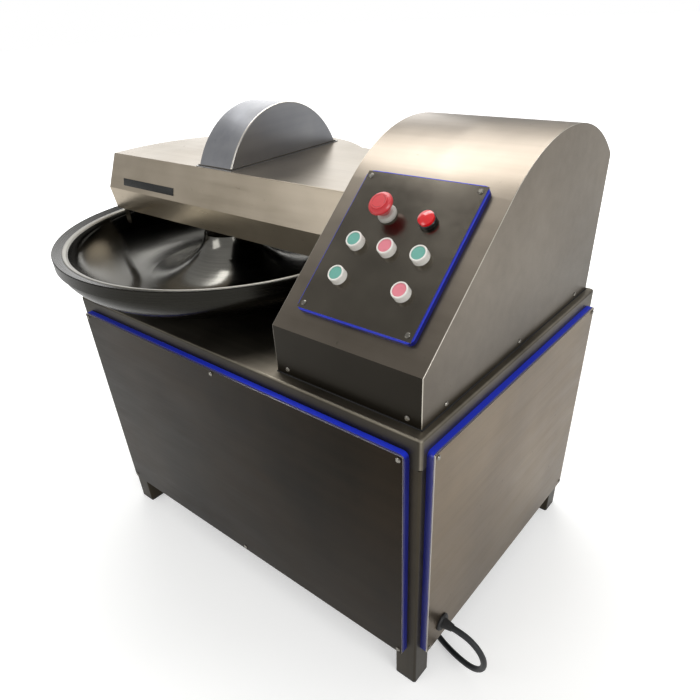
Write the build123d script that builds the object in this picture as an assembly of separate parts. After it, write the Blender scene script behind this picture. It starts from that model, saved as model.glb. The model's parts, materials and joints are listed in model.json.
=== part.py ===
from build123d import *
import math
import os

# Meat bowl cutter.  A stainless machine table on four legs carries a slowly turning bowl, a knife
# shaft with three sickle knives under a hinged lid, and a control housing with a sloping panel.
# X runs to the right, Y to the back and Z up, in millimetres.  The origin lies on the floor below
# the middle of the machine.  Every sub-part is one node, written to parts/NODE.step.

# ---------------------------------------------------------------- table and leg frame
TABLE_HEIGHT = 645.0
TABLE_LENGTH = 988.0
TABLE_DEPTH = 696.0
TABLE_SHEET = 2.5
FASCIA_HEIGHT = 60.0
TABLE_CORNER_RADIUS = 8.0
TABLE_EDGE_RADIUS = 5.0
LEG_SIZE = 50.0
LEG_WALL = 3.0
LEG_CORNER_RADIUS = 5.0
FOOT_THICKNESS = 5.0
FOOT_PLUG_HEIGHT = 20.0
RAIL_BOTTOM = 97.0
RAIL_SIZE = 50.0
RAIL_THICKNESS = 4.0
TOP_ANGLE_SIZE = 40.0
TOP_ANGLE_THICKNESS = 4.0
BEAM_WIDTH = 24.0
BEAM_HEIGHT = 50.0
BEARING_PLATE_THICKNESS = 12.0
BEARING_PLATE_SIDE = 220.0

# ---------------------------------------------------------------- side covers
COVER_SHEET = 3.0
COVER_BOTTOM = 99.0
COVER_TOP_INSET = 32.3
COVER_LEFT_INSET = 30.0
COVER_RIGHT_INSET = 24.5
COVER_FRONT_INSET = 20.0
COVER_REAR_INSET = 26.0
GASKET_THICKNESS = 11.5
GASKET_MARGIN = 3.0
GASKET_WIDTH = 24.0
GASKET_CORNER_RADIUS = 12.0
SCREW_INSET = 8.5
SCREW_HEAD_RADIUS = 5.0
SCREW_HEAD_HEIGHT = 2.5
SCREW_SHANK_RADIUS = 2.5
SCREW_CLEARANCE = 0.2

# ---------------------------------------------------------------- bowl
BOWL_RADIUS = 407.0
BOWL_HOUSING_GAP = 31.5
BOWL_FROM_BACK = 384.0
BOWL_TABLE_GAP = 12.0
BOWL_BOTTOM_WALL = 11.0
BOWL_DEPTH = 102.0
RIM_BAND_HEIGHT = 25.0
RIM_LIP = 7.0
RIM_WIDTH = 33.0
RIM_SLOPE_DROP = 10.0
TROUGH_RADIUS = 205.0
UNDERSIDE_FLAT_RADIUS = 200.0
HUB_RADIUS = 60.0
HUB_BELOW_RIM = 13.0
HUB_FLARE_RADIUS = 86.0
HUB_FLARE_CURVE = 182.0
HUB_CAP_RADIUS = 56.0
HUB_CAP_GAP = 0.5
HUB_CAP_THICKNESS = 6.0
HUB_CAP_PROUD = 1.0
NUT_WELL_RADIUS = 45.0
BOWL_NUT_ACROSS_FLATS = 55.0
BOWL_NUT_HEIGHT = 17.0
BOWL_NUT_THREAD_RADIUS = 18.0

# ---------------------------------------------------------------- bowl drive
BOWL_SHAFT_RADIUS = 20.0
BOWL_FLANGE_RADIUS = 115.0
BOWL_FLANGE_THICKNESS = 6.0
BOWL_FLANGE_GAP = 2.0
BOWL_HOUSING_RADIUS = 55.0
BOWL_HOUSING_LENGTH = 89.0
BOWL_HOUSING_FLANGE_RADIUS = 85.0
BOWL_HOUSING_FLANGE_THICKNESS = 12.0
BOWL_BEARING_RADIUS = 40.0
BOWL_BEARING_WIDTH = 18.0
BOWL_BEARING_SHOULDER_RADIUS = 34.0
BOWL_BEARING_SPAN = 51.0
BOWL_BEARING_DEPTH = 9.0
GEARBOX_SIDE = 130.0
GEARBOX_HEIGHT = 150.0
GEARBOX_SPIGOT_HEIGHT = 15.0
GEARBOX_SHAFT_DEPTH = 70.0
BOWL_MOTOR_RADIUS = 68.0
BOWL_MOTOR_LENGTH = 220.0
TABLE_BEARING_CLEARANCE = 1.0

# ---------------------------------------------------------------- knife shaft and knives
KNIFE_BEHIND_BOWL_AXIS = 196.0
KNIVES_RIGHT_OF_BOWL_AXIS = 46.5
KNIFE_TROUGH_GAP = 2.0
KNIFE_THICKNESS = 5.0
KNIFE_PITCH = 21.0
KNIFE_COUNT = 3
KNIFE_HUB_RADIUS = 34.0
KNIFE_BEVEL_WIDTH = 9.0
KNIFE_SEAT_RADIUS = 16.0
SPACER_RADIUS = 30.0
END_SPACER_LENGTH = 8.0
KNIFE_NUT_LENGTH = 16.0
KNIFE_NUT_ACROSS_FLATS = 46.0
KNIFE_NUT_THREAD_RADIUS = 15.0
SHAFT_SHOULDER_LENGTH = 8.0
ARM_FRONT_GAP = 5.0
ARM_WALL = 5.0
ARM_RIM_GAP = 4.0
ARM_FLANGE_RADIUS = 65.0
ARM_FLANGE_THICKNESS = 12.0
ARM_REAR_RADIUS = 50.0
ARM_REAR_END_IN_HOUSING = 83.0
ARM_WALL_HOLE_CLEARANCE = 0.5
FRONT_BEARING_RADIUS = 31.0
FRONT_BEARING_WIDTH = 14.0
FRONT_BEARING_DEPTH = 6.0
REAR_BEARING_RADIUS = 36.0
REAR_BEARING_WIDTH = 17.0
BEARING_SHOULDER = 4.0
KNIFE_JOURNAL_RADIUS = 17.5
RUNNING_CLEARANCE = 0.05
PEDESTAL_THICKNESS = 20.0
PEDESTAL_FROM_WALL = 28.0
PEDESTAL_WIDTH = 200.0
PEDESTAL_FOOT_LENGTH = 56.0
PEDESTAL_FOOT_HEIGHT = 12.0

# ---------------------------------------------------------------- knife drive
KNIFE_PULLEY_RADIUS = 59.0
MOTOR_PULLEY_RADIUS = 84.0
GROOVE_COUNT = 3
GROOVE_PITCH = 15.0
GROOVE_EDGE = 10.0
GROOVE_TOP_WIDTH = 13.0
GROOVE_BOTTOM_WIDTH = 9.8
GROOVE_DEPTH = 9.0
BELT_WIDTH = 9.0
BELT_THICKNESS = 7.0
BELT_GROOVE_GAP = 0.4
PULLEY_FROM_WALL = 101.0
MOTOR_BEHIND_BOWL_AXIS = 150.0
MOTOR_AXIS_HEIGHT = 132.0
MOTOR_RADIUS = 100.0
MOTOR_LENGTH = 340.0
MOTOR_PULLEY_GAP = 50.0
MOTOR_SHAFT_RADIUS = 19.0
MOTOR_FIN_HEIGHT = 5.0
MOTOR_PLATE_THICKNESS = 12.0
MOTOR_PLATE_DEPTH = 280.0
MOTOR_CHANNEL_WIDTH = 60.0
MOTOR_CHANNEL_SPAN = 220.0
SLOT_SIDE_CLEARANCE = 15.0

# ---------------------------------------------------------------- control housing
HOUSING_FROM_RIGHT = 15.7
HOUSING_WIDTH = 318.8
HOUSING_FRONT_INSET = 25.2
HOUSING_REAR_INSET = 12.5
HOUSING_SHEET = 2.0
HOUSING_FRONT_HEIGHT = 95.5
SLOPE_ANGLE = 40.2
SLOPE_LENGTH = 312.9
CROWN_RADIUS = 315.6
REAR_BEND_RADIUS = 15.0
HOUSING_EDGE_RADIUS = 1.5
UPSTAND_HEIGHT = 25.0
UPSTAND_THICKNESS = 3.0
HOUSING_SCREW_HEIGHT = 13.0
HOUSING_SCREW_END = 28.0

# ---------------------------------------------------------------- control plate and its controls
PLATE_WIDTH = 236.0
PLATE_LENGTH = 279.0
PLATE_START = 43.0
PLATE_THICKNESS = 2.5
PLATE_GASKET = 9.0
PLATE_GASKET_MARGIN = 3.0
PLATE_GASKET_WIDTH = 22.0
PLATE_SCREW_INSET = 10.0
BUTTON_PITCH = 65.0
BUTTON_ROW_LOW = 114.5
BUTTON_ROW_HIGH = 181.5
SAFETY_ROW = 244.0
ESTOP_OFFSET = -35.0
LAMP_OFFSET = 46.0
CONTROL_NECK_RADIUS = 11.0
CONTROL_HOLE_CLEARANCE = 0.15
CONTROL_NECK_LENGTH = 14.0
LOCKNUT_RADIUS = 14.0
LOCKNUT_THICKNESS = 4.0
COLLAR_RADIUS = 15.3
COLLAR_HEIGHT = 15.0
COLLAR_FLOOR = 6.0
CAP_RADIUS = 12.0
CAP_THICKNESS = 5.0
CAP_RECESS = 1.0
CAP_CLEARANCE = 0.1
CAP_STEM_RADIUS = 6.0
BUTTON_TRAVEL = 2.5
ESTOP_HEAD_RADIUS = 21.5
ESTOP_HEIGHT = 38.0
ESTOP_STEM_RADIUS = 8.0
ESTOP_COLLAR_RADIUS = 17.0
ESTOP_COLLAR_HEIGHT = 9.0
ESTOP_TRAVEL = 4.0
LAMP_BEZEL_RADIUS = 15.5
LAMP_BEZEL_HEIGHT = 8.0
LAMP_LENS_RADIUS = 14.0
LAMP_HEIGHT = 17.0

# ---------------------------------------------------------------- lid, dome and hinge
LID_RIM_GAP = 8.0
LID_LOWER_HEIGHT = 54.0
LID_UPPER_HEIGHT = 83.0
LID_BOTTOM_RADIUS = 369.0
LID_MIDDLE_RADIUS = 374.0
LID_TOP_RADIUS = 343.0
LID_BOTTOM_FRONT = -73.0
LID_MIDDLE_FRONT = -79.0
LID_TOP_FRONT = -58.0
LID_BOTTOM_REAR = 292.0
LID_MIDDLE_REAR = 297.0
LID_TOP_REAR = 270.0
LID_SHEET = 2.0
LID_EDGE_RADIUS = 3.0
LID_HOUSING_GAP = 6.0
LID_ARM_CLEARANCE = 4.0
LID_ARM_SWING = 12.0
DOME_RADIUS = 190.0
DOME_WIDTH = 108.0
DOME_ABOVE_KNIVES = 77.0
DOME_REAR_CLEARANCE = 8.7
DOME_SHEET = 2.0
DOME_EDGE_RADIUS = 3.0
DOME_FLANGE_WIDTH = 5.0
DOME_FLANGE_THICKNESS = 1.5
HINGE_FROM_REAR = 20.0
HINGE_HEIGHT = 161.0
HINGE_PIN_RADIUS = 8.0
HINGE_EYE_RADIUS = 16.0
HINGE_FROM_HOUSING = 106.0
HINGE_SPREAD = 120.0
HINGE_POST_THICKNESS = 12.0
HINGE_ARM_THICKNESS = 8.0
HINGE_SIDE_GAP = 2.0
HINGE_PIN_OVERHANG = 5.0
HINGE_FOOT_THICKNESS = 8.0
HINGE_FOOT_LENGTH = 48.0
HINGE_FOOT_WIDTH = 32.0
REST_FROM_BOWL_AXIS = 40.0
REST_WIDTH = 40.0
REST_DEPTH = 22.0
REST_PLATE = 3.0
REST_PLATE_HEIGHT = 38.0
BUMPER_RADIUS = 8.0
BUMPER_HEIGHT = 10.0

# ---------------------------------------------------------------- power cord
CORD_RADIUS = 6.5
GROMMET_RADIUS = 19.5
GROMMET_FLANGE = 6.0
GROMMET_LENGTH = 26.0
GROMMET_NOSE_RADIUS = 11.5
GROMMET_TIP_RADIUS = 8.0
GROMMET_NECK_RADIUS = 12.0
GROMMET_FROM_FRONT = 72.0
GROMMET_ABOVE_COVER_EDGE = 45.0
GROMMET_CLEARANCE = 0.2
COIL_X = 300.0
COIL_Y = 40.0
COIL_OUTER_RADIUS = 84.5
COIL_LAYERS = 3
COIL_WIDTH_IN_CORDS = 2
PLUG_RADIUS = 32.5
PLUG_REAR_X = 205.0
CORD_EXIT = 26.0
CORD_ROUTE = [
    (673.0, -239.5, 132.5),
    (690.5, -238.0, 111.0),
    (697.0, -235.5, 84.0),
    (691.0, -232.0, 57.0),
    (674.0, -227.0, 35.5),
    (648.0, -219.5, 22.0),
    (612.0, -208.0, 12.5),
    (566.0, -191.0, CORD_RADIUS),
    (508.0, -163.0, CORD_RADIUS),
    (452.0, -127.0, CORD_RADIUS),
    (402.0, -78.0, CORD_RADIUS),
]

# ---------------------------------------------------------------- places that follow from the sizes
COVER_PROUD = GASKET_THICKNESS + COVER_SHEET + SCREW_HEAD_HEIGHT
BOWL_FROM_RIGHT = BOWL_RADIUS + BOWL_HOUSING_GAP + HOUSING_WIDTH + HOUSING_FROM_RIGHT
OVERALL_WIDTH = BOWL_RADIUS + BOWL_FROM_RIGHT + COVER_PROUD
TABLE_RIGHT = OVERALL_WIDTH / 2 - COVER_PROUD
TABLE_LEFT = TABLE_RIGHT - TABLE_LENGTH
TABLE_X = (TABLE_LEFT + TABLE_RIGHT) / 2
BOWL_X = TABLE_RIGHT - BOWL_FROM_RIGHT
TABLE_BACK = BOWL_FROM_BACK
TABLE_FRONT = TABLE_BACK - TABLE_DEPTH
TABLE_Y = (TABLE_FRONT + TABLE_BACK) / 2
SHEET_UNDERSIDE = TABLE_HEIGHT - TABLE_SHEET
FASCIA_BOTTOM = TABLE_HEIGHT - FASCIA_HEIGHT
COVER_TOP = TABLE_HEIGHT - COVER_TOP_INSET
BEAM_TOP = SHEET_UNDERSIDE - BEARING_PLATE_THICKNESS

BOWL_BASE = TABLE_HEIGHT + BOWL_TABLE_GAP
TROUGH_Z = BOWL_BASE + BOWL_BOTTOM_WALL
RIM_TOP = TROUGH_Z + BOWL_DEPTH
RIM_INNER_RADIUS = BOWL_RADIUS - RIM_WIDTH
RIM_INNER_Z = RIM_TOP - RIM_SLOPE_DROP
HUB_TOP = RIM_TOP - HUB_BELOW_RIM
HUB_CAP_BASE = HUB_TOP + HUB_CAP_PROUD - HUB_CAP_THICKNESS
NUT_BASE = HUB_CAP_BASE - BOWL_NUT_HEIGHT
HUB_BORE_RADIUS = BOWL_SHAFT_RADIUS + RUNNING_CLEARANCE

BOWL_HOUSING_TOP = BOWL_BASE - BOWL_FLANGE_THICKNESS - BOWL_FLANGE_GAP
BOWL_HOUSING_BOTTOM = BOWL_HOUSING_TOP - BOWL_HOUSING_LENGTH
UPPER_BEARING_TOP = BOWL_HOUSING_TOP - BOWL_BEARING_DEPTH
LOWER_BEARING_TOP = UPPER_BEARING_TOP - BOWL_BEARING_SPAN
GEARBOX_TOP = BOWL_HOUSING_BOTTOM - GEARBOX_SPIGOT_HEIGHT
SHAFT_BOTTOM = GEARBOX_TOP - GEARBOX_SHAFT_DEPTH + 5.0

ARM_RADIUS = FRONT_BEARING_RADIUS + ARM_WALL
KNIFE_Z = RIM_TOP + ARM_RIM_GAP + ARM_RADIUS
KNIFE_Y = KNIFE_BEHIND_BOWL_AXIS
KNIFE_RADIUS = KNIFE_Z - TROUGH_Z - KNIFE_TROUGH_GAP
KNIFE_STACK_X = BOWL_X + KNIVES_RIGHT_OF_BOWL_AXIS
KNIFE_STACK = (KNIFE_COUNT - 1) * KNIFE_PITCH + KNIFE_THICKNESS
STACK_LEFT = KNIFE_STACK_X - KNIFE_STACK / 2
STACK_RIGHT = KNIFE_STACK_X + KNIFE_STACK / 2
NUT_RIGHT = STACK_LEFT - END_SPACER_LENGTH
SHOULDER_LEFT = STACK_RIGHT + END_SPACER_LENGTH
SHOULDER_RIGHT = SHOULDER_LEFT + SHAFT_SHOULDER_LENGTH
ARM_LEFT = SHOULDER_RIGHT + ARM_FRONT_GAP

HOUSING_RIGHT = TABLE_RIGHT - HOUSING_FROM_RIGHT
HOUSING_LEFT = HOUSING_RIGHT - HOUSING_WIDTH
HOUSING_X = (HOUSING_LEFT + HOUSING_RIGHT) / 2
HOUSING_FRONT = TABLE_FRONT + HOUSING_FRONT_INSET
HOUSING_BACK = TABLE_BACK - HOUSING_REAR_INSET
HOUSING_BREAK_Z = TABLE_HEIGHT + HOUSING_FRONT_HEIGHT
WALL_INSIDE = HOUSING_LEFT + HOUSING_SHEET
ARM_RIGHT = HOUSING_LEFT + ARM_REAR_END_IN_HOUSING
PEDESTAL_LEFT = HOUSING_LEFT + PEDESTAL_FROM_WALL

PULLEY_WIDTH = (GROOVE_COUNT - 1) * GROOVE_PITCH + 2 * GROOVE_EDGE
PULLEY_LEFT = HOUSING_LEFT + PULLEY_FROM_WALL
PULLEY_X = PULLEY_LEFT + PULLEY_WIDTH / 2
MOTOR_PLATE_BOTTOM = RAIL_BOTTOM + RAIL_SIZE
MOTOR_Y = MOTOR_BEHIND_BOWL_AXIS
MOTOR_Z = MOTOR_PLATE_BOTTOM + MOTOR_PLATE_THICKNESS + MOTOR_AXIS_HEIGHT
MOTOR_RIGHT = PULLEY_LEFT - MOTOR_PULLEY_GAP
MOTOR_LEFT = MOTOR_RIGHT - MOTOR_LENGTH
MOTOR_X = (MOTOR_LEFT + MOTOR_RIGHT) / 2

LID_BOTTOM = RIM_TOP + LID_RIM_GAP
LID_MIDDLE = LID_BOTTOM + LID_LOWER_HEIGHT
LID_TOP = LID_MIDDLE + LID_UPPER_HEIGHT
LID_RIGHT = HOUSING_LEFT - LID_HOUSING_GAP
DOME_Z = KNIFE_Z + KNIFE_RADIUS + DOME_ABOVE_KNIVES - DOME_RADIUS
DOME_HALF_CHORD = math.sqrt(DOME_RADIUS**2 - (LID_TOP - DOME_Z) ** 2)
KNIFE_HALF_CHORD = math.sqrt(KNIFE_RADIUS**2 - (LID_TOP - KNIFE_Z) ** 2)
DOME_Y = KNIFE_Y + KNIFE_HALF_CHORD + DOME_REAR_CLEARANCE - DOME_HALF_CHORD
DOME_LEFT = KNIFE_STACK_X - DOME_WIDTH / 2
DOME_RIGHT = KNIFE_STACK_X + DOME_WIDTH / 2
HINGE_Y = TABLE_BACK - HINGE_FROM_REAR
HINGE_Z = TABLE_HEIGHT + HINGE_HEIGHT
HINGE_X = HOUSING_LEFT - HINGE_FROM_HOUSING

UP = Plane.XY
SLOPE = math.radians(SLOPE_ANGLE)


# ---------------------------------------------------------------- shape helpers
def block(x0, x1, y0, y1, z0, z1):
    """Box given by its six faces."""
    centre = Pos((x0 + x1) / 2, (y0 + y1) / 2, (z0 + z1) / 2)
    return centre * Box(x1 - x0, y1 - y0, z1 - z0)


def turned(profile):
    """Solid of revolution about Z from (radius, height) corners."""
    return revolve(Plane.XZ * make_face(Polyline(*profile, close=True)), Axis.Z)


def bar(radius, bottom, top):
    """Round bar on the Z axis."""
    return extrude(UP.offset(bottom) * Circle(radius), top - bottom)


def ring(outer, inner, bottom, top):
    """Round ring on the Z axis."""
    return extrude(UP.offset(bottom) * (Circle(outer) - Circle(inner)), top - bottom)


def along_x(y, z):
    """Plane whose local Z is the world X, so local heights are world X values."""
    return Plane(origin=(0, y, z), x_dir=(0, 1, 0), z_dir=(1, 0, 0))


def on_slope(x, up_slope, height):
    """Plane on the sloping panel: local X to the right, Y up the slope, Z out of it."""
    origin = (
        x,
        HOUSING_FRONT + up_slope * math.cos(SLOPE) - height * math.sin(SLOPE),
        HOUSING_BREAK_Z + up_slope * math.sin(SLOPE) + height * math.cos(SLOPE),
    )
    return Plane(origin=origin, x_dir=(1, 0, 0), z_dir=(0, -math.sin(SLOPE), math.cos(SLOPE)))


def hexagon(across_flats):
    """Hexagon face by its width across the flats."""
    return RegularPolygon(across_flats / 2, 6, major_radius=False)


# ---------------------------------------------------------------- leg frame, table and feet
def corner_square(side_x, side_y, inset, size, bottom, top, radius=0.0):
    """Upright square bar at an inset inside one corner of the table outline."""
    x = TABLE_X + side_x * (TABLE_LENGTH / 2 - inset - size / 2)
    y = TABLE_Y + side_y * (TABLE_DEPTH / 2 - inset - size / 2)
    section = RectangleRounded(size, size, radius) if radius else Rectangle(size, size)
    return extrude(Plane(origin=(x, y, bottom)) * section, top - bottom)


def leg(side_x, side_y):
    """Leg tube up to the fascia, with a narrower tube in it that reaches up to the sheet."""
    bore = LEG_SIZE - 2 * LEG_WALL
    tube = corner_square(
        side_x, side_y, 0, LEG_SIZE, FOOT_THICKNESS, FASCIA_BOTTOM, LEG_CORNER_RADIUS
    )
    tube -= corner_square(side_x, side_y, LEG_WALL, bore, FOOT_THICKNESS, FASCIA_BOTTOM)
    bottom = FASCIA_BOTTOM - LEG_SIZE
    inner_corner = TABLE_CORNER_RADIUS - LEG_WALL
    spigot = corner_square(side_x, side_y, LEG_WALL, bore, bottom, SHEET_UNDERSIDE, inner_corner)
    spigot -= corner_square(
        side_x, side_y, 2 * LEG_WALL, bore - 2 * LEG_WALL, bottom, SHEET_UNDERSIDE
    )
    return tube + spigot


def table_ring(inset, width, bottom, top):
    """Rectangular ring that follows the table outline at an inset."""
    outer = Rectangle(TABLE_LENGTH - 2 * inset, TABLE_DEPTH - 2 * inset)
    inner = Rectangle(
        TABLE_LENGTH - 2 * (inset + width), TABLE_DEPTH - 2 * (inset + width)
    )
    return extrude(Plane(origin=(TABLE_X, TABLE_Y, bottom)) * (outer - inner), top - bottom)


def angle_ring(inset, size, thickness, bottom, top, flange_bottom):
    """Angle section that runs round the table outline, one flange upright and one flat."""
    upright = table_ring(inset, thickness, bottom, top)
    flat = table_ring(inset, size, flange_bottom, flange_bottom + thickness)
    return upright + flat


def corners():
    """Signs of the four table corners."""
    return [(side_x, side_y) for side_x in (-1, 1) for side_y in (-1, 1)]


def base_frame():
    """Legs, rails, bearing plate with its beams, and channels for the motor plate."""
    lower = angle_ring(
        0, RAIL_SIZE, RAIL_THICKNESS, RAIL_BOTTOM, RAIL_BOTTOM + RAIL_SIZE, RAIL_BOTTOM
    )
    upper = angle_ring(
        TABLE_SHEET,
        TOP_ANGLE_SIZE,
        TOP_ANGLE_THICKNESS,
        SHEET_UNDERSIDE - TOP_ANGLE_SIZE,
        SHEET_UNDERSIDE,
        SHEET_UNDERSIDE - TOP_ANGLE_THICKNESS,
    )
    for side_x, side_y in corners():
        weld = LEG_SIZE - LEG_CORNER_RADIUS
        lower -= corner_square(side_x, side_y, 0, weld, RAIL_BOTTOM, FASCIA_BOTTOM)
        spigot = LEG_SIZE - LEG_WALL
        upper -= corner_square(side_x, side_y, 0, spigot, FASCIA_BOTTOM, SHEET_UNDERSIDE)
    frame = lower + upper
    for side_x, side_y in corners():
        frame += leg(side_x, side_y)
    half = BEARING_PLATE_SIDE / 2
    frame += block(BOWL_X - half, BOWL_X + half, -half, half, BEAM_TOP, SHEET_UNDERSIDE)
    beam_inset = TABLE_SHEET + TOP_ANGLE_THICKNESS
    for side in (-1, 1):
        beam_x = BOWL_X + side * (half - BEAM_WIDTH / 2)
        frame += block(
            beam_x - BEAM_WIDTH / 2,
            beam_x + BEAM_WIDTH / 2,
            TABLE_FRONT + beam_inset,
            TABLE_BACK - beam_inset,
            BEAM_TOP - BEAM_HEIGHT,
            BEAM_TOP,
        )
        frame += motor_channel(MOTOR_X + side * MOTOR_CHANNEL_SPAN / 2)
    return frame - Pos(BOWL_X, 0, 0) * bar(BOWL_HOUSING_RADIUS, BEAM_TOP, SHEET_UNDERSIDE)


def motor_channel(x):
    """Channel that spans from the front rail to the rear rail, open downwards."""
    half = MOTOR_CHANNEL_WIDTH / 2
    front = TABLE_FRONT + RAIL_THICKNESS
    back = TABLE_BACK - RAIL_THICKNESS
    outside = block(x - half, x + half, front, back, RAIL_BOTTOM, MOTOR_PLATE_BOTTOM)
    inside = block(
        x - half + RAIL_THICKNESS,
        x + half - RAIL_THICKNESS,
        TABLE_FRONT + RAIL_SIZE,
        TABLE_BACK - RAIL_SIZE,
        RAIL_BOTTOM,
        MOTOR_PLATE_BOTTOM - RAIL_THICKNESS,
    )
    return outside - inside


def foot_pads():
    """Four plates under the legs, each with a plug that fills the end of its tube."""
    bore = LEG_SIZE - 2 * LEG_WALL
    pads = []
    for side_x, side_y in corners():
        pad = corner_square(side_x, side_y, 0, LEG_SIZE, 0, FOOT_THICKNESS, LEG_CORNER_RADIUS)
        plug_top = FOOT_THICKNESS + FOOT_PLUG_HEIGHT
        pads.append(pad + corner_square(side_x, side_y, LEG_WALL, bore, FOOT_THICKNESS, plug_top))
    return Compound(children=pads)


def tray(inset, top):
    """Rounded slab of the table outline, from the fascia's lower edge up to a height."""
    outline = RectangleRounded(
        TABLE_LENGTH - 2 * inset, TABLE_DEPTH - 2 * inset, TABLE_CORNER_RADIUS - inset
    )
    return extrude(Plane(origin=(TABLE_X, TABLE_Y, FASCIA_BOTTOM)) * outline, top - FASCIA_BOTTOM)


def table_top():
    """Folded sheet top with its fascia, a hole for the bowl bearing and a slot for the belts."""
    outside = tray(0, TABLE_HEIGHT)
    outside = fillet(outside.faces().sort_by(Axis.Z)[-1].edges(), TABLE_EDGE_RADIUS)
    top = outside - tray(TABLE_SHEET, SHEET_UNDERSIDE)
    hole = BOWL_HOUSING_RADIUS + TABLE_BEARING_CLEARANCE
    top -= Pos(BOWL_X, 0, 0) * bar(hole, SHEET_UNDERSIDE, TABLE_HEIGHT)
    rise = (TABLE_HEIGHT - MOTOR_Z) / (KNIFE_Z - MOTOR_Z)
    belt_y = MOTOR_Y + rise * (KNIFE_Y - MOTOR_Y)
    reach = MOTOR_PULLEY_RADIUS + SLOT_SIDE_CLEARANCE
    half = PULLEY_WIDTH / 2 + SLOT_SIDE_CLEARANCE
    top -= block(
        PULLEY_X - half,
        PULLEY_X + half,
        belt_y - reach,
        belt_y + reach,
        SHEET_UNDERSIDE,
        TABLE_HEIGHT,
    )
    inside_left = WALL_INSIDE
    inside_right = HOUSING_RIGHT - HOUSING_SHEET
    inside_front = HOUSING_FRONT + HOUSING_SHEET
    inside_back = HOUSING_BACK - HOUSING_SHEET
    upstand_top = TABLE_HEIGHT + UPSTAND_HEIGHT
    upstand = block(
        inside_left, inside_right, inside_front, inside_back, TABLE_HEIGHT, upstand_top
    ) - block(
        inside_left + UPSTAND_THICKNESS,
        inside_right - UPSTAND_THICKNESS,
        inside_front + UPSTAND_THICKNESS,
        inside_back - UPSTAND_THICKNESS,
        TABLE_HEIGHT,
        upstand_top,
    )
    top += upstand
    for plane, x, y in housing_screws():
        shank = HOUSING_SHEET + UPSTAND_THICKNESS
        top -= plane * Pos(x, y, 0) * bar(SCREW_SHANK_RADIUS + SCREW_CLEARANCE, -shank, 0)
    return top


# ---------------------------------------------------------------- covers, gaskets and screws
def side_planes():
    """One plane on each side of the table: local X runs along the side and local Y is up."""
    return {
        "front": Plane(origin=(0, TABLE_FRONT, 0), x_dir=(1, 0, 0), z_dir=(0, -1, 0)),
        "right": Plane(origin=(TABLE_RIGHT, 0, 0), x_dir=(0, 1, 0), z_dir=(1, 0, 0)),
        "left": Plane(origin=(TABLE_LEFT, 0, 0), x_dir=(0, -1, 0), z_dir=(-1, 0, 0)),
        "rear": Plane(origin=(0, TABLE_BACK, 0), x_dir=(-1, 0, 0), z_dir=(0, 1, 0)),
    }


def cover_spans():
    """Start and end of each cover along its side, in the local X of its plane."""
    left = TABLE_LEFT + COVER_LEFT_INSET
    right = TABLE_RIGHT - COVER_RIGHT_INSET
    front = TABLE_FRONT + COVER_FRONT_INSET
    rear = TABLE_BACK - COVER_REAR_INSET
    return {
        "front": (left, right),
        "right": (front, rear),
        "left": (-rear, -front),
        "rear": (-right, -left),
    }


def cover_screw_points(side):
    """Places of one cover's screws: its corners, and halfway along on the long sides."""
    start, end = cover_spans()[side]
    places = [start + SCREW_INSET, end - SCREW_INSET]
    if side in ("front", "rear"):
        places.append((start + end) / 2)
    heights = (COVER_BOTTOM + SCREW_INSET, COVER_TOP - SCREW_INSET)
    return [(place, height) for place in places for height in heights]


def drill_screws(sheet, side, bottom, top):
    """The sheet with holes for the screws of one cover."""
    plane = side_planes()[side]
    for place, height in cover_screw_points(side):
        hole = bar(SCREW_SHANK_RADIUS + SCREW_CLEARANCE, bottom, top)
        sheet -= plane * Pos(place, height, 0) * hole
    return sheet


def cover_sheet(side):
    """Flat cover sheet that stands off the frame on its gasket."""
    start, end = cover_spans()[side]
    middle = ((start + end) / 2, (COVER_BOTTOM + COVER_TOP) / 2)
    outline = Pos(*middle) * Rectangle(end - start, COVER_TOP - COVER_BOTTOM)
    plane = side_planes()[side].offset(GASKET_THICKNESS)
    sheet = extrude(plane * outline, COVER_SHEET)
    return drill_screws(sheet, side, GASKET_THICKNESS, GASKET_THICKNESS + COVER_SHEET)


def frame_gasket(width, height, margin, band, thickness):
    """Rounded rectangular gasket ring that shows a little all round its sheet."""
    outer_width = width + 2 * margin
    outer_height = height + 2 * margin
    outer = RectangleRounded(outer_width, outer_height, GASKET_CORNER_RADIUS)
    inner = Rectangle(outer_width - 2 * band, outer_height - 2 * band)
    return extrude(outer - inner, thickness)


def cover_gasket(side):
    """Gasket between one cover and the frame."""
    start, end = cover_spans()[side]
    middle = Pos((start + end) / 2, (COVER_BOTTOM + COVER_TOP) / 2, 0)
    height = COVER_TOP - COVER_BOTTOM
    gasket = frame_gasket(end - start, height, GASKET_MARGIN, GASKET_WIDTH, GASKET_THICKNESS)
    gasket = side_planes()[side] * middle * gasket
    return drill_screws(gasket, side, 0, GASKET_THICKNESS)


def housing_screws():
    """Plane and place of each screw round the foot of the control housing."""
    height = TABLE_HEIGHT + HOUSING_SCREW_HEIGHT
    front = Plane(origin=(0, HOUSING_FRONT, 0), x_dir=(1, 0, 0), z_dir=(0, -1, 0))
    right = Plane(origin=(HOUSING_RIGHT, 0, 0), x_dir=(0, 1, 0), z_dir=(1, 0, 0))
    rear = Plane(origin=(0, HOUSING_BACK, 0), x_dir=(-1, 0, 0), z_dir=(0, 1, 0))
    places = []
    for x in (HOUSING_LEFT + HOUSING_SCREW_END, HOUSING_RIGHT - HOUSING_SCREW_END):
        places.append((front, x, height))
        places.append((rear, -x, height))
    middle = (HOUSING_FRONT + HOUSING_BACK) / 2
    reach = (HOUSING_BACK - HOUSING_FRONT) / 2 - 2.5 * HOUSING_SCREW_END
    for y in (middle - reach, middle, middle + reach):
        places.append((right, y, height))
    return places


def plate_screw_points():
    """Offsets of the control plate's screws from the plate's centre."""
    half_width = PLATE_WIDTH / 2 - PLATE_SCREW_INSET
    half_length = PLATE_LENGTH / 2 - PLATE_SCREW_INSET
    return [(x * half_width, y * half_length) for x in (-1, 1) for y in (-1, 1)]


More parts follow.
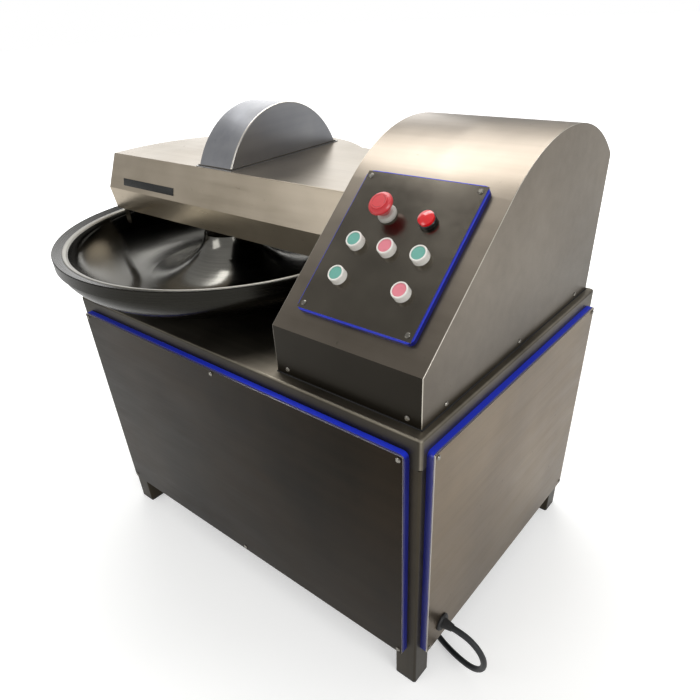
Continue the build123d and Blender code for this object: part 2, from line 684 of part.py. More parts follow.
def screw(shank_length):
    """Screw with a low round head, its head's underside at height zero."""
    return turned(
        [
            (0, -shank_length),
            (SCREW_SHANK_RADIUS, -shank_length),
            (SCREW_SHANK_RADIUS, 0),
            (SCREW_HEAD_RADIUS, 0),
            (SCREW_HEAD_RADIUS, SCREW_HEAD_HEIGHT * 0.35),
            (SCREW_HEAD_RADIUS * 0.62, SCREW_HEAD_HEIGHT),
            (0, SCREW_HEAD_HEIGHT),
        ]
    )


def panel_screws():
    """All the panel screws: round the covers, the control housing and the control plate."""
    screws = []
    cover_depth = GASKET_THICKNESS + COVER_SHEET
    for side, plane in side_planes().items():
        for place, height in cover_screw_points(side):
            screws.append(plane.offset(cover_depth) * Pos(place, height, 0) * screw(cover_depth))
    for plane, x, height in housing_screws():
        screws.append(plane * Pos(x, height, 0) * screw(HOUSING_SHEET + UPSTAND_THICKNESS))
    plate_depth = PLATE_GASKET + PLATE_THICKNESS
    plate_plane = on_slope(HOUSING_X, PLATE_START + PLATE_LENGTH / 2, plate_depth)
    for x, y in plate_screw_points():
        screws.append(plate_plane * Pos(x, y, 0) * screw(plate_depth))
    return Compound(children=screws)


# ---------------------------------------------------------------- control housing and plate
def housing_profile(inset):
    """Side outline of the control housing, moved in by a sheet thickness."""
    front = HOUSING_FRONT + inset
    back = HOUSING_BACK - inset
    radius = CROWN_RADIUS - inset
    along = inset * (1 - math.sin(SLOPE)) / math.cos(SLOPE)
    brow = (front, HOUSING_BREAK_Z - inset * math.cos(SLOPE) + along * math.sin(SLOPE))
    centre = (
        HOUSING_FRONT + SLOPE_LENGTH * math.cos(SLOPE) + CROWN_RADIUS * math.sin(SLOPE),
        HOUSING_BREAK_Z + SLOPE_LENGTH * math.sin(SLOPE) - CROWN_RADIUS * math.cos(SLOPE),
    )
    slope_top = (centre[0] - radius * math.sin(SLOPE), centre[1] + radius * math.cos(SLOPE))
    crown_top = (centre[0], centre[1] + radius)
    nape = (back, centre[1] + math.sqrt(radius**2 - (back - centre[0]) ** 2))
    outline = [
        Line((front, TABLE_HEIGHT), brow),
        Line(brow, slope_top),
        ThreePointArc(slope_top, crown_top, nape),
        Line(nape, (back, TABLE_HEIGHT)),
        Line((back, TABLE_HEIGHT), (front, TABLE_HEIGHT)),
    ]
    face = make_face(outline)
    bend = face.vertices().sort_by_distance((nape[0], nape[1], 0))[0]
    return fillet(bend, REAR_BEND_RADIUS - inset)


def control_housing():
    """Sheet housing with a sloping face that runs into a round crown, open at the bottom."""
    side = Plane(origin=(HOUSING_LEFT, 0, 0), x_dir=(0, 1, 0), z_dir=(1, 0, 0))
    outside = extrude(side * housing_profile(0), HOUSING_WIDTH)
    rims = outside.edges().filter_by(lambda edge: edge.center().Z > TABLE_HEIGHT + 1)
    rims = rims.filter_by(Axis.X, reverse=True)
    outside = fillet(rims, HOUSING_EDGE_RADIUS)
    inside = extrude(
        side.offset(HOUSING_SHEET) * housing_profile(HOUSING_SHEET),
        HOUSING_WIDTH - 2 * HOUSING_SHEET,
    )
    housing = outside - inside
    band = PLATE_GASKET_WIDTH - PLATE_GASKET_MARGIN
    opening = Rectangle(PLATE_WIDTH - 2 * band, PLATE_LENGTH - 2 * band)
    panel = on_slope(HOUSING_X, PLATE_START + PLATE_LENGTH / 2, 0)
    housing -= extrude(panel.offset(-2 * HOUSING_SHEET) * opening, 3 * HOUSING_SHEET)
    wall_hole = bar(ARM_RADIUS + ARM_WALL_HOLE_CLEARANCE, HOUSING_LEFT, WALL_INSIDE)
    housing -= along_x(KNIFE_Y, KNIFE_Z) * wall_hole
    hole = bar(SCREW_SHANK_RADIUS + SCREW_CLEARANCE, -HOUSING_SHEET, 0)
    for plane, x, y in housing_screws():
        housing -= plane * Pos(x, y, 0) * hole
    for x, y in plate_screw_points():
        housing -= panel * Pos(x, y, 0) * hole
    return housing


def control_gasket():
    """Gasket between the control plate and the sloping face."""
    ring_shape = frame_gasket(
        PLATE_WIDTH, PLATE_LENGTH, PLATE_GASKET_MARGIN, PLATE_GASKET_WIDTH, PLATE_GASKET
    )
    for x, y in plate_screw_points():
        hole = bar(SCREW_SHANK_RADIUS + SCREW_CLEARANCE, 0, PLATE_GASKET)
        ring_shape -= Pos(x, y, 0) * hole
    return on_slope(HOUSING_X, PLATE_START + PLATE_LENGTH / 2, 0) * ring_shape


def button_places():
    """Name and place of each push button: offset from the plate's middle line, then up the slope."""
    return {
        "knife_start_button": (BUTTON_PITCH, BUTTON_ROW_HIGH),
        "knife_stop_button": (0.0, BUTTON_ROW_HIGH),
        "knife_slow_button": (-BUTTON_PITCH, BUTTON_ROW_HIGH),
        "bowl_start_button": (-BUTTON_PITCH, BUTTON_ROW_LOW),
        "bowl_stop_button": (BUTTON_PITCH, BUTTON_ROW_LOW),
    }


def control_plate():
    """Plate that carries the controls, with a hole for each neck and each screw."""
    plate = extrude(Rectangle(PLATE_WIDTH, PLATE_LENGTH), PLATE_THICKNESS)
    middle = PLATE_START + PLATE_LENGTH / 2
    places = list(button_places().values())
    places += [(ESTOP_OFFSET, SAFETY_ROW), (LAMP_OFFSET, SAFETY_ROW)]
    for x, up_slope in places:
        hole = bar(CONTROL_NECK_RADIUS + CONTROL_HOLE_CLEARANCE, 0, PLATE_THICKNESS)
        plate -= Pos(x, up_slope - middle, 0) * hole
    for x, y in plate_screw_points():
        hole = bar(SCREW_SHANK_RADIUS + SCREW_CLEARANCE, 0, PLATE_THICKNESS)
        plate -= Pos(x, y, 0) * hole
    return on_slope(HOUSING_X, middle, PLATE_GASKET) * plate


def on_plate(offset, up_slope):
    """Plane on the control plate's outer face."""
    return on_slope(HOUSING_X + offset, up_slope, PLATE_GASKET + PLATE_THICKNESS)


def neck(bore):
    """Threaded neck with its locknut behind the plate, round a bore."""
    nut_top = -PLATE_THICKNESS
    profile = [
        (bore, -CONTROL_NECK_LENGTH),
        (CONTROL_NECK_RADIUS, -CONTROL_NECK_LENGTH),
        (CONTROL_NECK_RADIUS, nut_top - LOCKNUT_THICKNESS),
        (LOCKNUT_RADIUS, nut_top - LOCKNUT_THICKNESS),
        (LOCKNUT_RADIUS, nut_top),
        (CONTROL_NECK_RADIUS, nut_top),
        (CONTROL_NECK_RADIUS, 0),
    ]
    return profile


def button_collars():
    """White collars of the five push buttons."""
    bore = CAP_STEM_RADIUS + CAP_CLEARANCE
    well = CAP_RADIUS + CAP_CLEARANCE
    profile = neck(bore) + [
        (COLLAR_RADIUS, 0),
        (COLLAR_RADIUS - 0.3, COLLAR_HEIGHT - 1.5),
        (COLLAR_RADIUS - 1.3, COLLAR_HEIGHT),
        (well + 0.6, COLLAR_HEIGHT),
        (well, COLLAR_HEIGHT - 0.6),
        (well, COLLAR_FLOOR),
        (bore, COLLAR_FLOOR),
    ]
    collar = turned(profile)
    return Compound(children=[on_plate(*place) * collar for place in button_places().values()])


def button_cap():
    """Cap of a push button with its stem."""
    top = COLLAR_HEIGHT - CAP_RECESS
    return turned(
        [
            (0, -CONTROL_NECK_LENGTH + BUTTON_TRAVEL),
            (CAP_STEM_RADIUS, -CONTROL_NECK_LENGTH + BUTTON_TRAVEL),
            (CAP_STEM_RADIUS, top - CAP_THICKNESS),
            (CAP_RADIUS, top - CAP_THICKNESS),
            (CAP_RADIUS, top - 0.8),
            (CAP_RADIUS - 0.8, top),
            (0, top),
        ]
    )


def estop_collar():
    """Fixed collar of the emergency stop."""
    bore = ESTOP_STEM_RADIUS + CAP_CLEARANCE
    profile = neck(bore) + [
        (ESTOP_COLLAR_RADIUS, 0),
        (ESTOP_COLLAR_RADIUS, 4.0),
        (ESTOP_COLLAR_RADIUS - 2.5, ESTOP_COLLAR_HEIGHT),
        (bore, ESTOP_COLLAR_HEIGHT),
    ]
    return on_plate(ESTOP_OFFSET, SAFETY_ROW) * turned(profile)


def estop_button():
    """Mushroom head with a raised disc on a stem that widens upwards."""
    lip = ESTOP_HEIGHT - 11.0
    throat = ESTOP_COLLAR_HEIGHT + ESTOP_TRAVEL + 0.5
    profile = [
        (0, -CONTROL_NECK_LENGTH + ESTOP_TRAVEL),
        (ESTOP_STEM_RADIUS, -CONTROL_NECK_LENGTH + ESTOP_TRAVEL),
        (ESTOP_STEM_RADIUS, throat),
        (ESTOP_STEM_RADIUS + 4.0, throat),
        (ESTOP_HEAD_RADIUS - 1.5, lip),
        (ESTOP_HEAD_RADIUS, lip + 1.5),
        (ESTOP_HEAD_RADIUS, lip + 5.0),
        (ESTOP_HEAD_RADIUS - 2.0, lip + 7.5),
        (ESTOP_HEAD_RADIUS - 6.5, lip + 8.5),
        (ESTOP_HEAD_RADIUS - 7.0, ESTOP_HEIGHT),
        (0, ESTOP_HEIGHT),
    ]
    return on_plate(ESTOP_OFFSET, SAFETY_ROW) * turned(profile)


def lamp_bezel():
    """Dark bezel of the signal lamp."""
    seat = LAMP_BEZEL_HEIGHT - 2.0
    profile = neck(0) + [
        (LAMP_BEZEL_RADIUS, 0),
        (LAMP_BEZEL_RADIUS, LAMP_BEZEL_HEIGHT - 1.0),
        (LAMP_BEZEL_RADIUS - 1.0, LAMP_BEZEL_HEIGHT),
        (LAMP_LENS_RADIUS, LAMP_BEZEL_HEIGHT),
        (LAMP_LENS_RADIUS, seat),
        (0, seat),
    ]
    return on_plate(LAMP_OFFSET, SAFETY_ROW) * turned(profile)


def lamp_lens():
    """Domed lens seated in the lamp's bezel."""
    seat = LAMP_BEZEL_HEIGHT - 2.0
    rise = 4.0
    shoulder = LAMP_HEIGHT - rise
    sphere_radius = (LAMP_LENS_RADIUS**2 + rise**2) / (2 * rise)
    half = LAMP_LENS_RADIUS / 2
    half_height = LAMP_HEIGHT - sphere_radius + math.sqrt(sphere_radius**2 - half**2)
    outline = [
        Line((0, seat), (LAMP_LENS_RADIUS, seat)),
        Line((LAMP_LENS_RADIUS, seat), (LAMP_LENS_RADIUS, shoulder)),
        ThreePointArc((LAMP_LENS_RADIUS, shoulder), (half, half_height), (0, LAMP_HEIGHT)),
        Line((0, LAMP_HEIGHT), (0, seat)),
    ]
    lens = revolve(Plane.XZ * make_face(outline), Axis.Z)
    return on_plate(LAMP_OFFSET, SAFETY_ROW) * lens


# ---------------------------------------------------------------- bowl and its drive
def quarter_ellipse(inner_radius, bottom, outer_radius, top):
    """Quarter of an ellipse that starts level at the bottom and ends upright at the outside."""
    wide = outer_radius - inner_radius
    return EllipticalCenterArc((inner_radius, top), wide, top - bottom, 270, arc_size=90)


def bowl():
    """Turned bowl: a half-elliptic trough between a banded rim and a trumpet-shaped hub."""
    underside_top = RIM_TOP - RIM_BAND_HEIGHT
    underside_outer = BOWL_RADIUS - RIM_LIP
    curve_z = TROUGH_Z + HUB_FLARE_CURVE
    flare_z = curve_z - math.sqrt(HUB_FLARE_CURVE**2 - (TROUGH_RADIUS - HUB_FLARE_RADIUS) ** 2)
    waist_radius = (TROUGH_RADIUS + HUB_FLARE_RADIUS) / 2
    waist_z = curve_z - math.sqrt(HUB_FLARE_CURVE**2 - (TROUGH_RADIUS - waist_radius) ** 2)
    flare = ThreePointArc(
        (TROUGH_RADIUS, TROUGH_Z), (waist_radius, waist_z), (HUB_FLARE_RADIUS, flare_z)
    )
    outline = [
        Line((HUB_BORE_RADIUS, BOWL_BASE), (UNDERSIDE_FLAT_RADIUS, BOWL_BASE)),
        quarter_ellipse(UNDERSIDE_FLAT_RADIUS, BOWL_BASE, underside_outer, underside_top),
        Line((underside_outer, underside_top), (BOWL_RADIUS, underside_top)),
        Line((BOWL_RADIUS, underside_top), (BOWL_RADIUS, RIM_TOP - 1.5)),
        Line((BOWL_RADIUS, RIM_TOP - 1.5), (BOWL_RADIUS - 1.5, RIM_TOP)),
        Line((BOWL_RADIUS - 1.5, RIM_TOP), (RIM_INNER_RADIUS, RIM_INNER_Z)),
        quarter_ellipse(TROUGH_RADIUS, TROUGH_Z, RIM_INNER_RADIUS, RIM_INNER_Z),
        flare,
        TangentArc((HUB_FLARE_RADIUS, flare_z), (HUB_RADIUS, HUB_TOP), tangent=flare % 1),
        Line((HUB_RADIUS, HUB_TOP), (HUB_CAP_RADIUS + HUB_CAP_GAP, HUB_TOP)),
        Line((HUB_CAP_RADIUS + HUB_CAP_GAP, HUB_TOP), (HUB_CAP_RADIUS + HUB_CAP_GAP, HUB_CAP_BASE)),
        Line((HUB_CAP_RADIUS + HUB_CAP_GAP, HUB_CAP_BASE), (NUT_WELL_RADIUS, HUB_CAP_BASE)),
        Line((NUT_WELL_RADIUS, HUB_CAP_BASE), (NUT_WELL_RADIUS, NUT_BASE)),
        Line((NUT_WELL_RADIUS, NUT_BASE), (HUB_BORE_RADIUS, NUT_BASE)),
        Line((HUB_BORE_RADIUS, NUT_BASE), (HUB_BORE_RADIUS, BOWL_BASE)),
    ]
    return Pos(BOWL_X, 0, 0) * revolve(Plane.XZ * make_face(outline), Axis.Z)


def hub_cap():
    """Flat cap that closes the well over the bowl nut."""
    cap = bar(HUB_CAP_RADIUS, HUB_CAP_BASE, HUB_TOP + HUB_CAP_PROUD)
    return Pos(BOWL_X, 0, 0) * chamfer(cap.edges().sort_by(Axis.Z)[-1], 1.0)


def bowl_nut():
    """Hexagon nut that clamps the bowl on its shaft."""
    face = hexagon(BOWL_NUT_ACROSS_FLATS) - Circle(BOWL_NUT_THREAD_RADIUS)
    return Pos(BOWL_X, 0, NUT_BASE) * extrude(face, BOWL_NUT_HEIGHT - 1.0)


def bowl_shaft():
    """Upright shaft with a collar on the upper bearing and a threaded end for the nut."""
    collar_radius = BOWL_SHAFT_RADIUS + 6.0
    shaft = bar(BOWL_SHAFT_RADIUS, SHAFT_BOTTOM, NUT_BASE)
    collar_bottom = UPPER_BEARING_TOP + RUNNING_CLEARANCE
    shaft += bar(collar_radius, collar_bottom, BOWL_BASE - BOWL_FLANGE_THICKNESS)
    shaft += bar(BOWL_NUT_THREAD_RADIUS, NUT_BASE, HUB_CAP_BASE - 1.0)
    return Pos(BOWL_X, 0, 0) * shaft


def bowl_flange():
    """Disc on the shaft that carries the bowl."""
    top = BOWL_BASE
    disc = ring(BOWL_FLANGE_RADIUS, BOWL_SHAFT_RADIUS, top - BOWL_FLANGE_THICKNESS, top)
    return Pos(BOWL_X, 0, 0) * disc


def bowl_bearing_housing():
    """Flanged housing under the table, with a seat for a bearing at each end."""
    inner = BOWL_BEARING_SHOULDER_RADIUS
    seat = BOWL_BEARING_RADIUS
    flange_top = BEAM_TOP
    lower_seat_top = LOWER_BEARING_TOP
    upper_seat_bottom = UPPER_BEARING_TOP - BOWL_BEARING_WIDTH
    profile = [
        (seat, BOWL_HOUSING_BOTTOM),
        (BOWL_HOUSING_RADIUS, BOWL_HOUSING_BOTTOM),
        (BOWL_HOUSING_RADIUS, flange_top - BOWL_HOUSING_FLANGE_THICKNESS),
        (BOWL_HOUSING_FLANGE_RADIUS, flange_top - BOWL_HOUSING_FLANGE_THICKNESS),
        (BOWL_HOUSING_FLANGE_RADIUS, flange_top),
        (BOWL_HOUSING_RADIUS, flange_top),
        (BOWL_HOUSING_RADIUS, BOWL_HOUSING_TOP),
        (seat, BOWL_HOUSING_TOP),
        (seat, upper_seat_bottom),
        (inner, upper_seat_bottom),
        (inner, lower_seat_top),
        (seat, lower_seat_top),
    ]
    return Pos(BOWL_X, 0, 0) * turned(profile)


def bearing(outer, bore, width):
    """Ball bearing as one ring with a shallow groove between its races on each side."""
    race = (outer - bore) * 0.28
    groove = 1.0
    return turned(
        [
            (bore, 0),
            (bore + race, 0),
            (bore + race, groove),
            (outer - race, groove),
            (outer - race, 0),
            (outer, 0),
            (outer, width),
            (outer - race, width),
            (outer - race, width - groove),
            (bore + race, width - groove),
            (bore + race, width),
            (bore, width),
        ]
    )


def bowl_bearings():
    """Two bearings that carry the bowl shaft."""
    bore = BOWL_SHAFT_RADIUS + RUNNING_CLEARANCE
    shape = bearing(BOWL_BEARING_RADIUS, bore, BOWL_BEARING_WIDTH)
    tops = (UPPER_BEARING_TOP, LOWER_BEARING_TOP)
    return Compound(
        children=[Pos(BOWL_X, 0, top - BOWL_BEARING_WIDTH) * shape for top in tops]
    )


def bowl_gearbox():
    """Worm gearbox hung under the bearing housing, with a blind bore for the shaft."""
    half = GEARBOX_SIDE / 2
    case = block(-half, half, -half, half, GEARBOX_TOP - GEARBOX_HEIGHT, GEARBOX_TOP)
    case = fillet(case.edges().filter_by(Axis.Z), 12)
    case += bar(BOWL_HOUSING_RADIUS, GEARBOX_TOP, BOWL_HOUSING_BOTTOM)
    bore = BOWL_SHAFT_RADIUS + RUNNING_CLEARANCE
    case -= bar(bore, GEARBOX_TOP - GEARBOX_SHAFT_DEPTH, BOWL_HOUSING_BOTTOM)
    return Pos(BOWL_X, 0, 0) * case


def bowl_motor():
    """Motor flanged to the back of the bowl gearbox."""
    flange_radius = GEARBOX_SIDE / 2
    start = GEARBOX_SIDE / 2
    profile = [
        (0, start),
        (flange_radius, start),
        (flange_radius, start + 12),
        (BOWL_MOTOR_RADIUS - 8, start + 12),
        (BOWL_MOTOR_RADIUS - 8, start + 22),
        (BOWL_MOTOR_RADIUS, start + 22),
        (BOWL_MOTOR_RADIUS, start + BOWL_MOTOR_LENGTH - 8),
        (BOWL_MOTOR_RADIUS - 6, start + BOWL_MOTOR_LENGTH),
        (0, start + BOWL_MOTOR_LENGTH),
    ]
    height = GEARBOX_TOP - GEARBOX_HEIGHT / 2
    axis = Plane(origin=(BOWL_X, 0, height), x_dir=(1, 0, 0), z_dir=(0, 1, 0))
    return axis * turned(profile)


# ---------------------------------------------------------------- knives and knife shaft
def polar(radius, degrees):
    """Point by radius and angle."""
    angle = math.radians(degrees)
    return (radius * math.cos(angle), radius * math.sin(angle))


def knife_blank():
    """Sickle blade round its hub: a long convex cutting edge and a hollow back."""
    tip = polar(KNIFE_RADIUS, 0)
    heel = polar(KNIFE_HUB_RADIUS, -150)
    back_root = polar(KNIFE_HUB_RADIUS, 20)
    back_tip = polar(KNIFE_RADIUS, 12)
    edge = TangentArc(tip, heel, tangent=(0, -1))
    blade = make_face(
        [
            edge,
            Line(heel, polar(1.0, 110)),
            Line(polar(1.0, 110), back_root),
            ThreePointArc(back_root, polar(KNIFE_RADIUS * 0.56, -14), back_tip),
            ThreePointArc(back_tip, polar(KNIFE_RADIUS, 6), tip),
        ]
    )
    land = 0.1 * KNIFE_BEVEL_WIDTH
    bevel = Pos(edge.arc_center) * Cone(
        edge.radius + land,
        edge.radius + land - KNIFE_BEVEL_WIDTH,
        KNIFE_THICKNESS,
        align=(Align.CENTER, Align.CENTER, Align.MIN),
    )
    ground = extrude(blade, KNIFE_THICKNESS) & bevel
    hub = extrude(Circle(KNIFE_HUB_RADIUS), KNIFE_THICKNESS)
    return ground + hub - bar(KNIFE_SEAT_RADIUS, 0, KNIFE_THICKNESS)


def knife(index):
    """One knife of the stack, turned a third of a turn from the last."""
    left = STACK_LEFT + index * KNIFE_PITCH
    turn = Rot(0, 0, 90 + index * 360 / KNIFE_COUNT)
    return along_x(KNIFE_Y, KNIFE_Z) * Pos(0, 0, left) * turn * knife_blank()


def knife_spacers():
    """Spacers between the knives and at both ends of the stack."""
    gaps = [(NUT_RIGHT, STACK_LEFT), (STACK_RIGHT, SHOULDER_LEFT)]
    for index in range(KNIFE_COUNT - 1):
        left = STACK_LEFT + index * KNIFE_PITCH + KNIFE_THICKNESS
        gaps.append((left, left + KNIFE_PITCH - KNIFE_THICKNESS))
    rings = [ring(SPACER_RADIUS, KNIFE_SEAT_RADIUS, *gap) for gap in gaps]
    return along_x(KNIFE_Y, KNIFE_Z) * Compound(children=rings)


def knife_nut():
    """Nut that clamps the knife stack."""
    face = hexagon(KNIFE_NUT_ACROSS_FLATS) - Circle(KNIFE_NUT_THREAD_RADIUS)
    nut = extrude(UP.offset(NUT_RIGHT - KNIFE_NUT_LENGTH) * face, KNIFE_NUT_LENGTH)
    return along_x(KNIFE_Y, KNIFE_Z) * nut


def knife_shaft():
    """Knife shaft: thread, knife seat, shoulder, journal and pulley seat."""
    pulley_end = PULLEY_LEFT + PULLEY_WIDTH + 4
    profile = [
        (0, NUT_RIGHT - KNIFE_NUT_LENGTH - 2),
        (KNIFE_NUT_THREAD_RADIUS, NUT_RIGHT - KNIFE_NUT_LENGTH - 2),
        (KNIFE_NUT_THREAD_RADIUS, NUT_RIGHT),
        (KNIFE_SEAT_RADIUS, NUT_RIGHT),
        (KNIFE_SEAT_RADIUS, SHOULDER_LEFT),
        (SPACER_RADIUS, SHOULDER_LEFT),
        (SPACER_RADIUS, SHOULDER_RIGHT),
        (KNIFE_JOURNAL_RADIUS, SHOULDER_RIGHT),
        (KNIFE_JOURNAL_RADIUS, PULLEY_LEFT),
        (KNIFE_SEAT_RADIUS, PULLEY_LEFT),
        (KNIFE_SEAT_RADIUS, pulley_end),
        (0, pulley_end),
    ]
    return along_x(KNIFE_Y, KNIFE_Z) * turned(profile)


def spindle_housing():
    """Bearing arm over the bowl's rim, flanged inside the housing wall, with a rear body."""
    front_seat = ARM_LEFT + FRONT_BEARING_DEPTH + FRONT_BEARING_WIDTH
    rear_seat = ARM_RIGHT - REAR_BEARING_WIDTH
    bore = FRONT_BEARING_RADIUS - BEARING_SHOULDER
    profile = [
        (FRONT_BEARING_RADIUS, ARM_LEFT),
        (ARM_RADIUS - 2, ARM_LEFT),
        (ARM_RADIUS, ARM_LEFT + 2),
        (ARM_RADIUS, WALL_INSIDE),
        (ARM_FLANGE_RADIUS, WALL_INSIDE),
        (ARM_FLANGE_RADIUS, WALL_INSIDE + ARM_FLANGE_THICKNESS),
        (ARM_REAR_RADIUS, WALL_INSIDE + ARM_FLANGE_THICKNESS),
        (ARM_REAR_RADIUS, ARM_RIGHT),
        (REAR_BEARING_RADIUS, ARM_RIGHT),
        (REAR_BEARING_RADIUS, rear_seat),
        (bore, rear_seat),
        (bore, front_seat),
        (FRONT_BEARING_RADIUS, front_seat),
    ]
    return along_x(KNIFE_Y, KNIFE_Z) * turned(profile)


def spindle_bearings():
    """Front and rear bearings of the knife shaft."""
    bore = KNIFE_JOURNAL_RADIUS + RUNNING_CLEARANCE
    front = bearing(FRONT_BEARING_RADIUS, bore, FRONT_BEARING_WIDTH)
    rear = bearing(REAR_BEARING_RADIUS, bore, REAR_BEARING_WIDTH)
    seated = [
        Pos(0, 0, ARM_LEFT + FRONT_BEARING_DEPTH) * front,
        Pos(0, 0, ARM_RIGHT - REAR_BEARING_WIDTH) * rear,
    ]
    return along_x(KNIFE_Y, KNIFE_Z) * Compound(children=seated)


def spindle_pedestal():
    """Upright plate on a foot that holds the spindle housing over the table."""
    right = PEDESTAL_LEFT + PEDESTAL_THICKNESS
    half = PEDESTAL_WIDTH / 2
    foot_left = PEDESTAL_LEFT - (PEDESTAL_FOOT_LENGTH - PEDESTAL_THICKNESS) / 2
    plate = block(PEDESTAL_LEFT, right, KNIFE_Y - half, KNIFE_Y + half, TABLE_HEIGHT, KNIFE_Z)
    plate += along_x(KNIFE_Y, KNIFE_Z) * bar(half, PEDESTAL_LEFT, right)
    foot = block(
        foot_left,
        foot_left + PEDESTAL_FOOT_LENGTH,
        KNIFE_Y - half,
        KNIFE_Y + half,
        TABLE_HEIGHT,
        TABLE_HEIGHT + PEDESTAL_FOOT_HEIGHT,
    )
    return plate + foot - along_x(KNIFE_Y, KNIFE_Z) * bar(ARM_REAR_RADIUS, PEDESTAL_LEFT, right)


# ---------------------------------------------------------------- knife drive
def pulley(radius, bore):
    """Grooved belt pulley, its left face at height zero."""
    profile = [(bore, 0), (radius, 0)]
    for index in range(GROOVE_COUNT):
        centre = GROOVE_EDGE + index * GROOVE_PITCH
        profile.append((radius, centre - GROOVE_TOP_WIDTH / 2))
        profile.append((radius - GROOVE_DEPTH, centre - GROOVE_BOTTOM_WIDTH / 2))
        profile.append((radius - GROOVE_DEPTH, centre + GROOVE_BOTTOM_WIDTH / 2))
        profile.append((radius, centre + GROOVE_TOP_WIDTH / 2))
    profile += [(radius, PULLEY_WIDTH), (bore, PULLEY_WIDTH)]
    return turned(profile)


def knife_pulley():
    """Driven pulley on the knife shaft."""
    wheel = Pos(0, 0, PULLEY_LEFT) * pulley(KNIFE_PULLEY_RADIUS, KNIFE_SEAT_RADIUS)
    return along_x(KNIFE_Y, KNIFE_Z) * wheel


def motor_pulley():
    """Driving pulley on the motor shaft."""
    wheel = Pos(0, 0, PULLEY_LEFT) * pulley(MOTOR_PULLEY_RADIUS, MOTOR_SHAFT_RADIUS)
    return along_x(MOTOR_Y, MOTOR_Z) * wheel


def belt_loop(outward):
    """Face inside a belt's line round both pulleys, at a distance above the groove floors."""
    knife_circle = Pos(KNIFE_Y, KNIFE_Z) * Circle(KNIFE_PULLEY_RADIUS - GROOVE_DEPTH + outward)
    motor_circle = Pos(MOTOR_Y, MOTOR_Z) * Circle(MOTOR_PULLEY_RADIUS - GROOVE_DEPTH + outward)
    return make_hull(knife_circle.edges() + motor_circle.edges())


def knife_belts():
    """Belts between the motor pulley and the knife pulley, one in each groove."""
    section = belt_loop(BELT_GROOVE_GAP + BELT_THICKNESS) - belt_loop(BELT_GROOVE_GAP)
    belts = []
    for index in range(GROOVE_COUNT):
        x = PULLEY_LEFT + GROOVE_EDGE + index * GROOVE_PITCH - BELT_WIDTH / 2
        side = Plane(origin=(x, 0, 0), x_dir=(0, 1, 0), z_dir=(1, 0, 0))
        belts.append(extrude(side * section, BELT_WIDTH))
    return Compound(children=belts)


def knife_motor():
    """Foot-mounted motor with ribs round its body, a fan cover and a terminal box."""
    barrel = MOTOR_RADIUS
    rib_start = MOTOR_LEFT + 80
    rib_end = MOTOR_RIGHT - 40
    body = bar(barrel, MOTOR_LEFT + 12, MOTOR_RIGHT - 12)
    body += bar(barrel + MOTOR_FIN_HEIGHT, rib_start, rib_end)
    body += bar(barrel - 14, MOTOR_LEFT, MOTOR_RIGHT)
    motor = along_x(MOTOR_Y, MOTOR_Z) * body
    plate_top = MOTOR_PLATE_BOTTOM + MOTOR_PLATE_THICKNESS
    foot_reach = barrel + 8
    for side in (-1, 1):
        x = (rib_start + rib_end) / 2 + side * 70
        motor += block(
            x - 25, x + 25, MOTOR_Y - foot_reach, MOTOR_Y + foot_reach, plate_top, plate_top + 16
        )
        motor += block(x - 25, x + 25, MOTOR_Y - 70, MOTOR_Y + 70, plate_top, MOTOR_Z)
    motor += block(
        MOTOR_X - 50, MOTOR_X + 50, MOTOR_Y - 45, MOTOR_Y + 45, MOTOR_Z, MOTOR_Z + barrel + 40
    )
    journal = bar(MOTOR_SHAFT_RADIUS + RUNNING_CLEARANCE, MOTOR_RIGHT - 30, MOTOR_RIGHT)
    return motor - along_x(MOTOR_Y, MOTOR_Z) * journal


def motor_plate():
    """Plate across the two channels under the motor."""
    half_length = (MOTOR_CHANNEL_SPAN + MOTOR_CHANNEL_WIDTH) / 2
    return block(
        MOTOR_X - half_length,
        MOTOR_X + half_length,
        MOTOR_Y - MOTOR_PLATE_DEPTH / 2,
        MOTOR_Y + MOTOR_PLATE_DEPTH / 2,
        MOTOR_PLATE_BOTTOM,
        MOTOR_PLATE_BOTTOM + MOTOR_PLATE_THICKNESS,
    )


def motor_shaft():
    """Drive end of the motor shaft."""
    shaft = bar(MOTOR_SHAFT_RADIUS, MOTOR_RIGHT - 30, PULLEY_LEFT + PULLEY_WIDTH)
    return along_x(MOTOR_Y, MOTOR_Z) * shaft


# ---------------------------------------------------------------- lid, dome and hinge
def lid_slab(x0, x1, y0, y1, z0, z1):
    """Straight-sided slab whose front and rear faces lean: y0 and y1 are pairs, low and high."""
    low = Pos((x0 + x1) / 2, (y0[0] + y1[0]) / 2, z0) * Rectangle(x1 - x0, y1[0] - y0[0])
    high = Pos((x0 + x1) / 2, (y0[1] + y1[1]) / 2, z1) * Rectangle(x1 - x0, y1[1] - y0[1])
    return loft([low.face(), high.face()], ruled=True)


def lid_band(radii, fronts, rears, z0, z1, right):
    """One band of the lid: a cone round the bowl axis cut off in front, and a slab to the right."""
    low, high = radii
    reach = max(radii) + 50
    cone = Pos(BOWL_X, 0, (z0 + z1) / 2) * Cone(low, high, z1 - z0)
    behind_front = lid_slab(BOWL_X - reach, BOWL_X + reach, fronts, (reach, reach), z0, z1)
    return (cone & behind_front) + lid_slab(BOWL_X, right, fronts, rears, z0, z1)


def lid_body(inset):
    """Solid lid form in two bands: a short one that widens and a tall one that narrows."""
    bottom = LID_BOTTOM_RADIUS - inset, LID_BOTTOM_FRONT + inset, LID_BOTTOM_REAR - inset
    middle = LID_MIDDLE_RADIUS - inset, LID_MIDDLE_FRONT + inset, LID_MIDDLE_REAR - inset
    top = LID_TOP_RADIUS - inset, LID_TOP_FRONT + inset, LID_TOP_REAR - inset
    right = LID_RIGHT - inset
    lower = lid_band(*zip(bottom, middle), LID_BOTTOM, LID_MIDDLE, right)
    upper = lid_band(*zip(middle, top), LID_MIDDLE, LID_TOP - inset, right)
    return lower + upper


